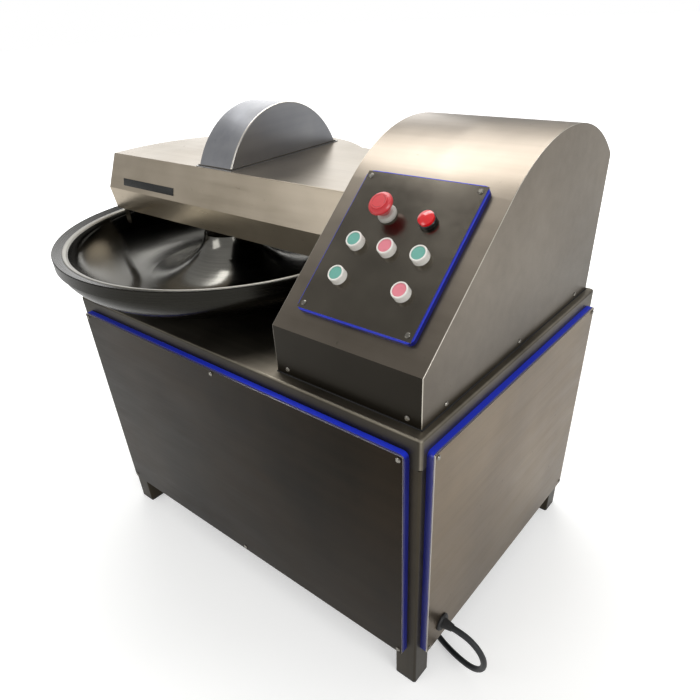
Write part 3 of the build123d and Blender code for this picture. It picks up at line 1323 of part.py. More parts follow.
def hinge_arm():
    """Side outline of a hinge arm from the lid's rear wall to the eye round the pin."""
    root = LID_BOTTOM_REAR - 1
    eye = Pos(HINGE_Y, HINGE_Z) * Circle(HINGE_EYE_RADIUS)
    foot = Pos(root, LID_MIDDLE) * Rectangle(2, LID_LOWER_HEIGHT)
    return make_hull(eye.edges() + foot.edges())


def hinge_sides():
    """Sign and X of the inner face of each hinge post."""
    return [(side, HINGE_X + side * HINGE_SPREAD / 2) for side in (-1, 1)]


def lid_shell():
    """Lid with an opening under the dome, a slot for the bearing arm and two hinge arms."""
    shell = lid_body(0)
    crown = shell.edges().filter_by(lambda edge: edge.center().Z > LID_TOP - 0.1)
    shell = fillet(crown, LID_EDGE_RADIUS)
    for side, post_face in hinge_sides():
        near = post_face - side * HINGE_SIDE_GAP
        far = near - side * HINGE_ARM_THICKNESS
        plane = Plane(origin=(min(near, far), 0, 0), x_dir=(0, 1, 0), z_dir=(1, 0, 0))
        shell += extrude(plane * hinge_arm(), HINGE_ARM_THICKNESS)
    shell -= lid_body(LID_SHEET)
    pin_hole = bar(HINGE_PIN_RADIUS + RUNNING_CLEARANCE, HINGE_X - 100, HINGE_X + 100)
    shell -= along_x(HINGE_Y, HINGE_Z) * pin_hole
    shell -= block(
        DOME_LEFT + DOME_SHEET,
        DOME_RIGHT - DOME_SHEET,
        DOME_Y - DOME_HALF_CHORD + DOME_SHEET,
        DOME_Y + DOME_HALF_CHORD - DOME_SHEET,
        LID_TOP - 2 * LID_SHEET,
        LID_TOP,
    )
    reach = ARM_RADIUS + LID_ARM_CLEARANCE
    slot = block(
        LID_RIGHT - 2 * LID_SHEET,
        LID_RIGHT + LID_SHEET,
        KNIFE_Y - reach,
        KNIFE_Y + reach + LID_ARM_SWING,
        LID_BOTTOM - 1,
        KNIFE_Z,
    )
    slot += along_x(KNIFE_Y, KNIFE_Z) * bar(reach, LID_RIGHT - 2 * LID_SHEET, LID_RIGHT + LID_SHEET)
    return shell - slot


def dome_form(inset):
    """Solid dome form: a slice of a cylinder that stands on the lid's top."""
    cylinder = along_x(DOME_Y, DOME_Z) * bar(
        DOME_RADIUS - inset, DOME_LEFT + inset, DOME_RIGHT - inset
    )
    reach = DOME_RADIUS + 10
    below = block(
        DOME_LEFT - 10, DOME_RIGHT + 10, DOME_Y - reach, DOME_Y + reach, DOME_Z - reach, LID_TOP
    )
    return cylinder - below


def knife_dome():
    """Sheet dome over the knives with a narrow flange round its foot."""
    outside = dome_form(0)
    rims = outside.edges().filter_by(GeomType.CIRCLE)
    outside = fillet(rims, DOME_EDGE_RADIUS)
    dome = outside - dome_form(DOME_SHEET)
    half = DOME_HALF_CHORD + DOME_FLANGE_WIDTH
    flange = block(
        DOME_LEFT - DOME_FLANGE_WIDTH,
        DOME_RIGHT + DOME_FLANGE_WIDTH,
        DOME_Y - half,
        DOME_Y + half,
        LID_TOP,
        LID_TOP + DOME_FLANGE_THICKNESS,
    )
    return dome + (flange - dome_form(DOME_SHEET))


def hinge_pin():
    """Pin through both posts and both lid arms."""
    reach = HINGE_SPREAD / 2 + HINGE_POST_THICKNESS + HINGE_PIN_OVERHANG
    return along_x(HINGE_Y, HINGE_Z) * bar(HINGE_PIN_RADIUS, HINGE_X - reach, HINGE_X + reach)


def hinge_posts():
    """Two posts on the table, each a plate with an eye on a foot."""
    foot_back = HINGE_Y + HINGE_EYE_RADIUS
    eye = Pos(HINGE_Y, HINGE_Z) * Circle(HINGE_EYE_RADIUS)
    base = Pos(HINGE_Y, TABLE_HEIGHT + 1) * Rectangle(2 * HINGE_EYE_RADIUS, 2)
    outline = make_hull(eye.edges() + base.edges()) - Pos(HINGE_Y, HINGE_Z) * Circle(
        HINGE_PIN_RADIUS
    )
    posts = []
    for side, near in hinge_sides():
        far = near + side * HINGE_POST_THICKNESS
        left = min(near, far)
        middle = (near + far) / 2
        plane = Plane(origin=(left, 0, 0), x_dir=(0, 1, 0), z_dir=(1, 0, 0))
        foot = block(
            middle - HINGE_FOOT_WIDTH / 2,
            middle + HINGE_FOOT_WIDTH / 2,
            foot_back - HINGE_FOOT_LENGTH,
            foot_back,
            TABLE_HEIGHT,
            TABLE_HEIGHT + HINGE_FOOT_THICKNESS,
        )
        posts.append(extrude(plane * outline, HINGE_POST_THICKNESS) + foot)
    return Compound(children=posts)


def lid_rest():
    """Angle bracket on the control housing that carries the lid's bumper."""
    front = -REST_FROM_BOWL_AXIS - REST_WIDTH / 2
    back = front + REST_WIDTH
    top = LID_BOTTOM - BUMPER_HEIGHT
    wall = block(HOUSING_LEFT - REST_PLATE, HOUSING_LEFT, front, back, top - REST_PLATE_HEIGHT, top)
    shelf = block(HOUSING_LEFT - REST_DEPTH, HOUSING_LEFT, front, back, top - REST_PLATE, top)
    return wall + shelf


def lid_bumper():
    """Rubber bumper under the lid's right wall."""
    x = LID_RIGHT - LID_SHEET - LID_SHEET
    return Pos(x, -REST_FROM_BOWL_AXIS, 0) * bar(
        BUMPER_RADIUS, LID_BOTTOM - BUMPER_HEIGHT, LID_BOTTOM
    )


# ---------------------------------------------------------------- power cord
def grommet_place():
    """Point on the right cover where the cord comes out."""
    x = TABLE_RIGHT + GASKET_THICKNESS + COVER_SHEET
    return (x, TABLE_FRONT + GROMMET_FROM_FRONT, COVER_BOTTOM + GROMMET_ABOVE_COVER_EDGE)


def right_cover():
    """Right cover, with the hole for the cord's grommet."""
    x, y, z = grommet_place()
    radius = GROMMET_NECK_RADIUS + GROMMET_CLEARANCE
    return cover_sheet("right") - along_x(y, z) * bar(radius, x - COVER_SHEET, x)


def cord_grommet():
    """Grommet with a ring on the cover, a neck through it and a tapered nose round the cord."""
    x, y, z = grommet_place()
    profile = [
        (0, x - COVER_SHEET - 4),
        (GROMMET_NECK_RADIUS, x - COVER_SHEET - 4),
        (GROMMET_NECK_RADIUS, x),
        (GROMMET_RADIUS, x),
        (GROMMET_RADIUS, x + GROMMET_FLANGE * 0.5),
        (GROMMET_RADIUS - 3, x + GROMMET_FLANGE),
        (GROMMET_NOSE_RADIUS, x + GROMMET_FLANGE),
        (GROMMET_TIP_RADIUS, x + GROMMET_LENGTH),
        (0, x + GROMMET_LENGTH),
    ]
    return along_x(y, z) * turned(profile)


def coil_ends():
    """Ends of the lead and the tail in the coil: the point and the direction away from it."""
    middle = COIL_OUTER_RADIUS - CORD_RADIUS
    last = CORD_ROUTE[-1]
    reach = math.hypot(last[0] - COIL_X, last[1] - COIL_Y)
    toward = math.degrees(math.atan2(last[1] - COIL_Y, last[0] - COIL_X))
    angle = toward + math.degrees(math.acos(middle / reach))
    lead_end = Vector(COIL_X, COIL_Y, CORD_RADIUS) + Vector(*polar(middle, angle), 0)
    lead_away = Vector(*polar(1, angle - 90), 0)
    top_layer = (2 * COIL_LAYERS - 1) * CORD_RADIUS
    tail_start = Vector(COIL_X, COIL_Y + middle, top_layer)
    return (lead_end, lead_away), (tail_start, Vector(-1, 0, 0))


def round_rod(start, end):
    """Straight round rod of the cord's section between two points."""
    path = Line(start, end)
    return extrude(Plane(origin=start, z_dir=path % 0) * Circle(CORD_RADIUS), path.length)


def cord_coil():
    """Coiled part of the cord as one ring, with a channel where the lead and the tail leave it."""
    height = 2 * CORD_RADIUS * COIL_LAYERS
    inner = COIL_OUTER_RADIUS - 2 * CORD_RADIUS * COIL_WIDTH_IN_CORDS
    coil = Pos(COIL_X, COIL_Y, 0) * ring(COIL_OUTER_RADIUS, inner, 0, height)
    for point, away in coil_ends():
        outward = Vector(point.X - COIL_X, point.Y - COIL_Y, 0).normalized()
        along = Plane(origin=point + outward * CORD_RADIUS, x_dir=away, z_dir=(0, 0, 1))
        channel = Pos(COIL_OUTER_RADIUS / 2, 0, 0) * Box(
            COIL_OUTER_RADIUS, 4 * CORD_RADIUS, 2 * CORD_RADIUS
        )
        coil -= along * channel
    return coil


def fillet_radii(points):
    """Largest easy arc at each inner corner: 0.45 of the shorter run over the half turn's tangent."""
    radii = []
    for before, corner, after in zip(points, points[1:], points[2:]):
        run_in = corner - before
        run_out = after - corner
        half_turn = math.radians(run_in.get_angle(run_out)) / 2
        radii.append(0.45 * min(run_in.length, run_out.length) / math.tan(half_turn))
    return radii


def power_cord():
    """Cord from the grommet round to the coil, and the short tail from the coil to the plug."""
    x, y, z = grommet_place()
    (lead_end, _), (tail_start, _) = coil_ends()
    start = Vector(x + GROMMET_LENGTH, y, z)
    points = [start, start + Vector(CORD_EXIT, 0, 0)]
    points += [Vector(*point) for point in CORD_ROUTE]
    points.append(lead_end)
    radii = fillet_radii(points)
    path = FilletPolyline(*points, radius=radii)
    lead = sweep(Plane(origin=path @ 0, z_dir=path % 0) * Circle(CORD_RADIUS), path)
    tail = round_rod(tail_start, Vector(PLUG_REAR_X, tail_start.Y, tail_start.Z))
    print("cord arcs", [round(radius) for radius in radii])
    exact = math.pi * CORD_RADIUS**2 * path.length
    print("cord volume over section times length", lead.volume / exact)
    return Compound(children=[lead, tail])


def cord_plug():
    """Industrial plug lying beside the coil: gland, body, shroud and pins."""
    tail_start = coil_ends()[1][0]
    shroud_wall = 4.0
    profile = [
        (0, 0),
        (13, 0),
        (15, 22),
        (25, 34),
        (28, 84),
        (PLUG_RADIUS, 88),
        (PLUG_RADIUS, 135),
        (PLUG_RADIUS - shroud_wall, 135),
        (PLUG_RADIUS - shroud_wall, 96),
        (0, 96),
    ]
    plug = turned(profile)
    for turn in range(4):
        x, y = polar(15, 45 + 90 * turn)
        plug += Pos(x, y, 0) * bar(3.5, 96, 128)
    plane = Plane(
        origin=(PLUG_REAR_X, tail_start.Y, PLUG_RADIUS), x_dir=(0, 1, 0), z_dir=(-1, 0, 0)
    )
    return plane * plug


# ---------------------------------------------------------------- all the nodes
def all_nodes():
    """Every sub-part by its node name."""
    nodes = {
        "base_frame": base_frame(),
        "foot_pads": foot_pads(),
        "table_top": table_top(),
        "front_cover": cover_sheet("front"),
        "right_cover": right_cover(),
        "left_cover": cover_sheet("left"),
        "rear_cover": cover_sheet("rear"),
        "panel_screws": panel_screws(),
        "control_housing": control_housing(),
        "control_gasket": control_gasket(),
        "control_plate": control_plate(),
        "button_collars": button_collars(),
        "estop_collar": estop_collar(),
        "estop_button": estop_button(),
        "lamp_bezel": lamp_bezel(),
        "lamp_lens": lamp_lens(),
        "bowl": bowl(),
        "hub_cap": hub_cap(),
        "bowl_nut": bowl_nut(),
        "bowl_shaft": bowl_shaft(),
        "bowl_flange": bowl_flange(),
        "bowl_bearing_housing": bowl_bearing_housing(),
        "bowl_bearings": bowl_bearings(),
        "bowl_gearbox": bowl_gearbox(),
        "bowl_motor": bowl_motor(),
        "knife_spacers": knife_spacers(),
        "knife_nut": knife_nut(),
        "knife_shaft": knife_shaft(),
        "spindle_housing": spindle_housing(),
        "spindle_bearings": spindle_bearings(),
        "spindle_pedestal": spindle_pedestal(),
        "knife_pulley": knife_pulley(),
        "motor_pulley": motor_pulley(),
        "knife_belts": knife_belts(),
        "knife_motor": knife_motor(),
        "motor_plate": motor_plate(),
        "motor_shaft": motor_shaft(),
        "lid_shell": lid_shell(),
        "knife_dome": knife_dome(),
        "hinge_pin": hinge_pin(),
        "hinge_posts": hinge_posts(),
        "lid_rest": lid_rest(),
        "lid_bumper": lid_bumper(),
        "cord_grommet": cord_grommet(),
        "power_cord": power_cord(),
        "cord_coil": cord_coil(),
        "cord_plug": cord_plug(),
    }
    for side in side_planes():
        nodes[f"{side}_gasket"] = cover_gasket(side)
    for name, place in button_places().items():
        nodes[name] = on_plate(*place) * button_cap()
    for index in range(KNIFE_COUNT):
        nodes[f"knife_{index + 1}"] = knife(index)
    return nodes


def main():
    os.makedirs("parts", exist_ok=True)
    for name, shape in all_nodes().items():
        export_step(shape, f"parts/{name}.step")


if __name__ == "__main__":
    main()
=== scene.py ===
"""Meat bowl cutter: finishes, power cord, small trim, studio and camera round the fixed model."""

import json
import logging
import math
from dataclasses import dataclass, field
from enum import Enum
from typing import Iterable, Sequence, Union

import bmesh
import bpy
from mathutils import Matrix, Vector

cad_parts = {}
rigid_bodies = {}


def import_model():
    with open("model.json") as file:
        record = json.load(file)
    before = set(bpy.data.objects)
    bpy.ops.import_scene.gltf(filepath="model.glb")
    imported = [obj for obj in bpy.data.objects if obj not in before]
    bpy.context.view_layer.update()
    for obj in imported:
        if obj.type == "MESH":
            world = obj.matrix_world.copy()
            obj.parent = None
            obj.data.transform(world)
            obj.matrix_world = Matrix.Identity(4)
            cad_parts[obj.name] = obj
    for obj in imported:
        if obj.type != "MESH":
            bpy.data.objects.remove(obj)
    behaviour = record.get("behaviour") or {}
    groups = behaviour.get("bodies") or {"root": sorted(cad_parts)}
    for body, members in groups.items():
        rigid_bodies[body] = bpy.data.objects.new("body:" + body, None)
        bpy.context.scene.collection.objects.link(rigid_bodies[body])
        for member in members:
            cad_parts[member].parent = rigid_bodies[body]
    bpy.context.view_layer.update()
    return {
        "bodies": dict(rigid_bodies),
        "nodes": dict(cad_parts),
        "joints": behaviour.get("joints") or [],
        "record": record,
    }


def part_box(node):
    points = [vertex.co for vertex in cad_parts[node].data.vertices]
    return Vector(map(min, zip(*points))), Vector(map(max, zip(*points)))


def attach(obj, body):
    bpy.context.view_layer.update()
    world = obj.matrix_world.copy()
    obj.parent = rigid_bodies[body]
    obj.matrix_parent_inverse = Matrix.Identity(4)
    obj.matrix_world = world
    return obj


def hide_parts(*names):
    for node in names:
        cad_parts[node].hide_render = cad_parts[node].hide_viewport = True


LOG = logging.getLogger("bowl_cutter")

Number = Union[float, "Shade"]
Place = tuple[float, float, float]
Range = tuple[float, float]
Colour = tuple[float, float, float, float]

# Places of axes and directions of the sloping control plate, in the machine's own frame.
BOWL_AXIS: Place = (-0.1915, 0.0, 0.0)
KNIFE_AXIS: Place = (0.0, 0.196, 0.810)
STOP_AXIS: Place = (0.3714, -0.1004, 0.8980)
PLATE_NORMAL: Place = (0.0, -0.645, 0.764)
PLATE_UPHILL: Place = (0.0, 0.764, 0.645)

SHARP_ANGLE = 35.0
BEAD_SIDES = 12

# Sockets of the Mix node when it mixes colours.
MIX_FACTOR, MIX_FIRST, MIX_SECOND, MIX_RESULT = 0, 6, 7, 2


def linear(code: str) -> Colour:
    """Linear colour of a screen colour.

    Args:
        code: six hexadecimal digits, red, green and blue.

    Returns:
        The colour as red, green, blue and an opacity of one.
    """
    parts = [int(code[start : start + 2], 16) / 255 for start in (0, 2, 4)]
    bent = [part / 12.92 if part <= 0.04045 else ((part + 0.055) / 1.055) ** 2.4 for part in parts]
    return (bent[0], bent[1], bent[2], 1.0)


WHITE: Colour = (1.0, 1.0, 1.0, 1.0)
# Colour of painted shade, laid over the steel where light falls less.
PAINTED_SHADE = linear("1c1a16")


class Along(Enum):
    """Direction in which a sheet was brushed: how fine its grain is along X, Y and Z."""

    X = (4.0, 420.0, 420.0)
    Y = (420.0, 4.0, 420.0)
    Z = (420.0, 420.0, 4.0)
    NONE = (90.0, 90.0, 90.0)


class Edge(Enum):
    """Where a sheet gets a painted highlight: at its cut edges or along its folds.

    A value is the direction that the sheet's main faces look in. Only its line counts, so
    FOLD takes minus X to stay apart from CUT_X.
    """

    NONE = (0.0, 0.0, 0.0)
    CUT_X = (1.0, 0.0, 0.0)
    CUT_Y = (0.0, 1.0, 0.0)
    CUT_SLOPE = PLATE_NORMAL
    FOLD = (-1.0, 0.0, 0.0)


class Way(Enum):
    """A side that a face can be turned to."""

    FRONT = (0.0, -1.0, 0.0)
    RIGHT = (1.0, 0.0, 0.0)
    UP = (0.0, 0.0, 1.0)
    DOWN = (0.0, 0.0, -1.0)


# ---------------------------------------------------------------- shader arithmetic
class Shade:
    """A shader value that takes part in ordinary arithmetic."""

    def __init__(self, graph: "Graph", socket: bpy.types.NodeSocket) -> None:
        """Wraps one output socket."""
        self.graph = graph
        self.socket = socket

    def __add__(self, other: Number) -> "Shade":
        """Sum."""
        return self.graph.maths("ADD", self, other)

    def __radd__(self, other: Number) -> "Shade":
        """Sum with a plain number in front."""
        return self.graph.maths("ADD", other, self)

    def __sub__(self, other: Number) -> "Shade":
        """Difference."""
        return self.graph.maths("SUBTRACT", self, other)

    def __rsub__(self, other: Number) -> "Shade":
        """Difference from a plain number."""
        return self.graph.maths("SUBTRACT", other, self)

    def __mul__(self, other: Number) -> "Shade":
        """Product."""
        return self.graph.maths("MULTIPLY", self, other)

    def __rmul__(self, other: Number) -> "Shade":
        """Product with a plain number in front."""
        return self.graph.maths("MULTIPLY", other, self)

    def __abs__(self) -> "Shade":
        """Size without the sign."""
        return self.graph.maths("ABSOLUTE", self)

    def clamped(self) -> "Shade":
        """The value held between zero and one."""
        return self.graph.maths("ADD", self, 0.0, clamp=True)


class Graph:
    """Node graph of one material."""

    def __init__(self, name: str) -> None:
        """Starts an empty material with an output and a Principled shader.

        Args:
            name: name of the material.
        """
        self.material = bpy.data.materials.new(name)
        self.material.use_nodes = True
        self.tree = self.material.node_tree
        self.tree.nodes.clear()
        self.output = self.node("ShaderNodeOutputMaterial")
        self.surface = self.node("ShaderNodeBsdfPrincipled")
        self.tree.links.new(self.surface.outputs[0], self.output.inputs["Surface"])
        self.coordinates = self.node("ShaderNodeTexCoord")

    def node(
        self, kind: str, settings: dict | None = None, inputs: dict | None = None
    ) -> bpy.types.Node:
        """Adds one node.

        Args:
            kind: the node's type.
            settings: attributes set before any input.
            inputs: values, sockets or shades by input name or number.

        Returns:
            The new node.
        """
        made = self.tree.nodes.new(kind)
        for key, value in (settings or {}).items():
            setattr(made, key, value)
        for key, value in (inputs or {}).items():
            self.feed(made.inputs[key], value)
        return made

    def feed(self, socket: bpy.types.NodeSocket, value: object) -> None:
        """Links a shade to an input, or sets the input's own value."""
        if isinstance(value, Shade):
            self.tree.links.new(value.socket, socket)
        else:
            socket.default_value = value

    def maths(self, operation: str, *values: Number, clamp: bool = False) -> Shade:
        """Result of one arithmetic operation on numbers and shades."""
        inputs = dict(enumerate(values))
        made = self.node("ShaderNodeMath", {"operation": operation, "use_clamp": clamp}, inputs)
        return Shade(self, made.outputs[0])

    def place(
        self, scale: Sequence[float] = (1, 1, 1), middle: Sequence[float] = (0, 0, 0)
    ) -> Shade:
        """Object coordinates in metres, centred and stretched.

        Args:
            scale: factor along X, Y and Z.
            middle: point of the object that becomes the pattern's middle.

        Returns:
            The coordinates as a vector.
        """
        shift = [-part * factor for part, factor in zip(middle, scale)]
        spot = Shade(self, self.coordinates.outputs["Object"])
        inputs = {"Vector": spot, "Location": shift, "Scale": scale}
        return Shade(self, self.node("ShaderNodeMapping", None, inputs).outputs[0])

    def parts(self, vector: Shade) -> list[Shade]:
        """X, Y and Z of a vector."""
        made = self.node("ShaderNodeSeparateXYZ", None, {0: vector})
        return [Shade(self, socket) for socket in made.outputs]

    def along(self, vector: Shade, direction: Sequence[float]) -> Shade:
        """How far a vector reaches in a direction."""
        inputs = {0: vector, 1: direction}
        made = self.node("ShaderNodeVectorMath", {"operation": "DOT_PRODUCT"}, inputs)
        return Shade(self, made.outputs["Value"])

    def facing(self, direction: Sequence[float]) -> Shade:
        """How far the surface faces a direction, from minus one to one."""
        return self.along(Shade(self, self.coordinates.outputs["Normal"]), direction)

    def distance(self, first: Shade, second: Shade) -> Shade:
        """Length of a flat vector with two parts."""
        return self.maths("SQRT", first * first + second * second)

    def noise(
        self, vector: Shade, scale: float, detail: float = 3.0, rough: float = 0.55
    ) -> Shade:
        """Soft noise between about 0.2 and 0.8."""
        inputs = {"Vector": vector, "Scale": scale, "Detail": detail, "Roughness": rough}
        return Shade(self, self.node("ShaderNodeTexNoise", None, inputs).outputs["Fac"])

    def ramp(self, value: Shade, low: float, high: float) -> Shade:
        """Smooth step of a value from zero at low to one at high."""
        inputs = {"Value": value, "From Min": low, "From Max": high}
        settings = {"interpolation_type": "SMOOTHSTEP"}
        return Shade(self, self.node("ShaderNodeMapRange", settings, inputs).outputs[0])

    def blend(self, factor: Number, first: object, second: object) -> Shade:
        """Mix of two colours.

        Args:
            factor: share of the second colour.
            first: colour or shade.
            second: colour or shade.

        Returns:
            The mixed colour.
        """
        inputs = {MIX_FACTOR: factor, MIX_FIRST: first, MIX_SECOND: second}
        made = self.node("ShaderNodeMix", {"data_type": "RGBA"}, inputs)
        return Shade(self, made.outputs[MIX_RESULT])

    def relief(self, height: Shade, distance: float, strength: float = 1.0) -> None:
        """Bumps the surface by a height pattern.

        Args:
            height: pattern between zero and one.
            distance: depth of the pattern in metres.
            strength: share of the bump that shows.
        """
        inputs = {"Height": height, "Distance": distance, "Strength": strength}
        made = self.node("ShaderNodeBump", None, inputs)
        self.tree.links.new(made.outputs[0], self.surface.inputs["Normal"])

    def dress(self, **inputs: object) -> None:
        """Sets the Principled shader's inputs, with spaces written as underscores."""
        for key, value in inputs.items():
            self.feed(self.surface.inputs[key.replace("_", " ")], value)


# ---------------------------------------------------------------- patterns
@dataclass(frozen=True)
class Pattern:
    """Soft noise over an object: how fine, detailed and rough it is, and how it is stretched."""

    scale: float
    detail: float = 3.0
    rough: float = 0.55
    stretch: Sequence[float] = (1.0, 1.0, 1.0)

    def lay(self, graph: Graph) -> Shade:
        """The pattern as a value between about 0.2 and 0.8."""
        return graph.noise(graph.place(self.stretch), self.scale, self.detail, self.rough)


CLOUDS = Pattern(3.2, 4.0)
WIPES = Pattern(4.0, 2.0, stretch=(2.0, 2.0, 7.0))
SPECKS = Pattern(55.0, 2.0, 0.7)
SMEARS = Pattern(6.0, 4.0, stretch=(1.0, 1.0, 2.0))
SLOW_TONE = Pattern(9.0)
CHIPS = Pattern(42.0, 4.0, 0.7)
DUST = Pattern(14.0, 2.0)
RUBBER_SKIN = Pattern(600.0, 2.0)
GRIME = Pattern(120.0, 4.0)
SCUFFS = Pattern(1.0, 2.0, stretch=(900.0, 120.0, 300.0))
HAZE = Pattern(90.0)
FLOOR_DUST = Pattern(1.5)


# ---------------------------------------------------------------- finishes
@dataclass(frozen=True)
class Finish:
    """Base of every finish: a named material, made once."""

    name: str

    @property
    def label(self) -> str:
        """Name of the finish's material, apart from the names of the model's own."""
        return f"{self.name}_finish"

    def paint(self, graph: Graph) -> None:
        """Builds the shader; each finish has its own."""
        raise NotImplementedError

    def material(self) -> bpy.types.Material:
        """The finish as a material, built at its first use."""
        made = bpy.data.materials.get(self.label)
        if made is None:
            graph = Graph(self.label)
            self.paint(graph)
            made = graph.material
        return made


@dataclass(frozen=True)
class SheetSteel(Finish):
    """Brushed stainless sheet with cloudy patches of tone, wiping marks and specks, and painted
    highlights on its edges.
    """

    dark: str
    light: str
    # Colour of the painted highlight along cut edges and folds.
    edge: str = "d8d2c6"
    along: Along = Along.X
    # Which edges get the painted highlight.
    edges: Edge = Edge.NONE
    roughness: float = 0.36
    spread: float = 0.14
    anisotropy: float = 0.35
    cloud_share: float = 0.62
    cloud_range: Range = (0.32, 0.70)
    wipe_share: float = 0.38
    streak_share: float = 0.5
    streak_stretch: float = 9.0
    speck_share: float = 0.25
    speck_colour: str = "2a2620"
    speck_range: Range = (0.70, 0.82)
    speck_roughness: float = 0.08
    edge_highlight_range: Range = (0.15, 0.6)
    grain_roughness: float = 0.12
    grain_depth: float = 0.00004
    grain_strength: float = 0.6
    # Painted shade on faces turned each given way, with its share.
    facing_shade: tuple[tuple[Way, float], ...] = ()
    facing_shade_range: Range = (0.6, 0.95)
    # Painted shade that darkens the steel towards the bottom, with the heights over which it thins
    # out.
    low_shade: float = 0.0
    low_shade_range: Range = (0.0, 1.0)
    # Painted shade inside a lid: on faces turned down, and on faces turned to the front behind a
    # given depth.
    inside_shade: float = 0.0
    inside_behind: float = 0.0
    inside_depth: float = 0.03
    inside_range: Range = (0.3, 0.8)

    def edge_highlight(self, graph: Graph) -> Number:
        """How far each spot gets the painted highlight of a cut edge or fold."""
        if self.edges is Edge.NONE:
            return 0.0
        lean = abs(graph.facing(self.edges.value))
        if self.edges is Edge.FOLD:
            return (4.0 * lean * (1.0 - lean)).clamped()
        return graph.ramp(1.0 - lean, *self.edge_highlight_range)

    def with_painted_shade(self, graph: Graph, colour: Shade) -> Shade:
        """The colour with painted shade: darker on faces turned certain ways, towards the bottom
        and inside.
        """
        for way, share in self.facing_shade:
            turned = graph.ramp(graph.facing(way.value), *self.facing_shade_range)
            colour = graph.blend(share * turned, colour, PAINTED_SHADE)
        # Painted shade, darker towards the bottom.
        if self.low_shade:
            _, _, height = graph.parts(graph.place())
            low = 1.0 - graph.ramp(height, *self.low_shade_range)
            colour = graph.blend(self.low_shade * low, colour, PAINTED_SHADE)
        # Painted shade inside: faces turned down, and faces turned to the front further back.
        if self.inside_shade:
            _, depth, _ = graph.parts(graph.place())
            under = graph.ramp(graph.facing(Way.DOWN.value), *self.inside_range)
            behind = graph.ramp(depth, self.inside_behind, self.inside_behind + self.inside_depth)
            front = graph.ramp(graph.facing(Way.FRONT.value), *self.inside_range)
            inside = (under + behind * front).clamped()
            colour = graph.blend(self.inside_shade * inside, colour, PAINTED_SHADE)
        return colour

    def paint(self, graph: Graph) -> None:
        """Clouds and streaks set the tone and roughness, grain sets the relief."""
        clouds = graph.ramp(CLOUDS.lay(graph), *self.cloud_range)
        wiped = WIPES.lay(graph)
        grain = Pattern(1.0, 2.0, 0.6, self.along.value).lay(graph)
        stretched = [part / self.streak_stretch for part in self.along.value]
        streaks = Pattern(1.0, stretch=stretched).lay(graph) - 0.5
        tone = self.cloud_share * clouds + self.wipe_share * wiped + self.streak_share * streaks
        colour = graph.blend(tone.clamped(), linear(self.dark), linear(self.light))
        speck = graph.ramp(SPECKS.lay(graph), *self.speck_range)
        colour = graph.blend(self.speck_share * speck, colour, linear(self.speck_colour))
        colour = self.with_painted_shade(graph, colour)
        # Painted highlight along the cut edges or folds.
        colour = graph.blend(self.edge_highlight(graph), colour, linear(self.edge))
        rough = self.roughness + self.spread * (wiped - 0.5)
        rough = rough + self.grain_roughness * (grain - 0.5) + self.speck_roughness * speck
        graph.dress(Base_Color=colour, Metallic=1.0, Roughness=rough.clamped())
        graph.dress(Anisotropic=self.anisotropy)
        graph.relief(grain, self.grain_depth, self.grain_strength)


@dataclass(frozen=True)
class TurnedSteel(Finish):
    """Stainless turned or polished in rings round an upright or lying axis."""

    middle: Place
    lying: bool
    dark: str
    light: str
    roughness: float
    anisotropy: float = 0.75
    ring_pitch: float = 260.0
    ring_share: float = 0.5
    ring_roughness: float = 0.10
    ring_depth: float = 0.00003
    ring_strength: float = 0.5
    smear_share: float = 0.75
    smear_roughness: float = 0.12
    # Share of painted shade, a dark colour on the bowl's outside and underside; these are also
    # made rougher.
    outside_shade: float = 0.0
    outside_range: Range = (0.382, 0.388)
    outside_shade_colour: str = "1a1916"
    outside_roughness: float = 0.12
    under_range: Range = (0.1, 0.5)

    def outside(self, graph: Graph, radius: Shade) -> Shade:
        """How far each spot is past the rim or looks down."""
        under = graph.ramp(graph.facing(Way.DOWN.value), *self.under_range)
        return (graph.ramp(radius, *self.outside_range) + under).clamped()

    def paint(self, graph: Graph) -> None:
        """Rings follow the distance from the axis, broken up a little by smears."""
        x, y, z = graph.parts(graph.place(middle=self.middle))
        first, level = (y, x) if self.lying else (x, z)
        second = z if self.lying else y
        radius = graph.distance(first, second)
        inputs = {0: radius * self.ring_pitch, 1: level * self.ring_pitch}
        steps = graph.node("ShaderNodeCombineXYZ", None, inputs)
        rings = graph.noise(Shade(graph, steps.outputs[0]), 1.0, 3.0, 0.65)
        smears = SMEARS.lay(graph)
        tone = self.smear_share * smears + self.ring_share * (rings - 0.25)
        colour = graph.blend(tone.clamped(), linear(self.dark), linear(self.light))
        rough = self.roughness + self.smear_roughness * (smears - 0.5)
        rough = rough + self.ring_roughness * (rings - 0.5)
        # Painted shade: the outside and underside get a dark colour that stands in for the dark
        # table they mirror; the added roughness makes them duller.
        if self.outside_shade:
            outside = self.outside(graph, radius)
            shade_tone = linear(self.outside_shade_colour)
            colour = graph.blend(self.outside_shade * outside, colour, shade_tone)
            rough = rough + self.outside_roughness * outside
        graph.dress(Base_Color=colour, Metallic=1.0, Roughness=rough.clamped())
        graph.dress(Anisotropic=self.anisotropy)
        graph.relief(rings, self.ring_depth, self.ring_strength)


@dataclass(frozen=True)
class Casting(Finish):
    """Cast or painted metal with a pebbled skin and chips that show a darker ground."""

    colour: str
    ground: str
    roughness: float
    metallic: float = 0.0
    pebble: float = 260.0
    pebble_depth: float = 0.0003
    pebble_strength: float = 0.35
    slow_share: float = 0.35
    slow_roughness: float = 0.2
    chip_range: Range = (0.68, 0.72)
    chip_roughness: float = 0.15

    def paint(self, graph: Graph) -> None:
        """A pebbled skin, a slow change of tone and sparse chips."""
        slow = SLOW_TONE.lay(graph)
        skin = Pattern(self.pebble, 2.0).lay(graph)
        chips = graph.ramp(CHIPS.lay(graph), *self.chip_range)
        colour = graph.blend(self.slow_share * slow, linear(self.colour), linear(self.ground))
        colour = graph.blend(chips, colour, linear(self.ground))
        rough = self.roughness + self.slow_roughness * (slow - 0.5) + self.chip_roughness * chips
        graph.dress(Base_Color=colour, Metallic=self.metallic, Roughness=rough.clamped())
        graph.relief(skin, self.pebble_depth, self.pebble_strength)


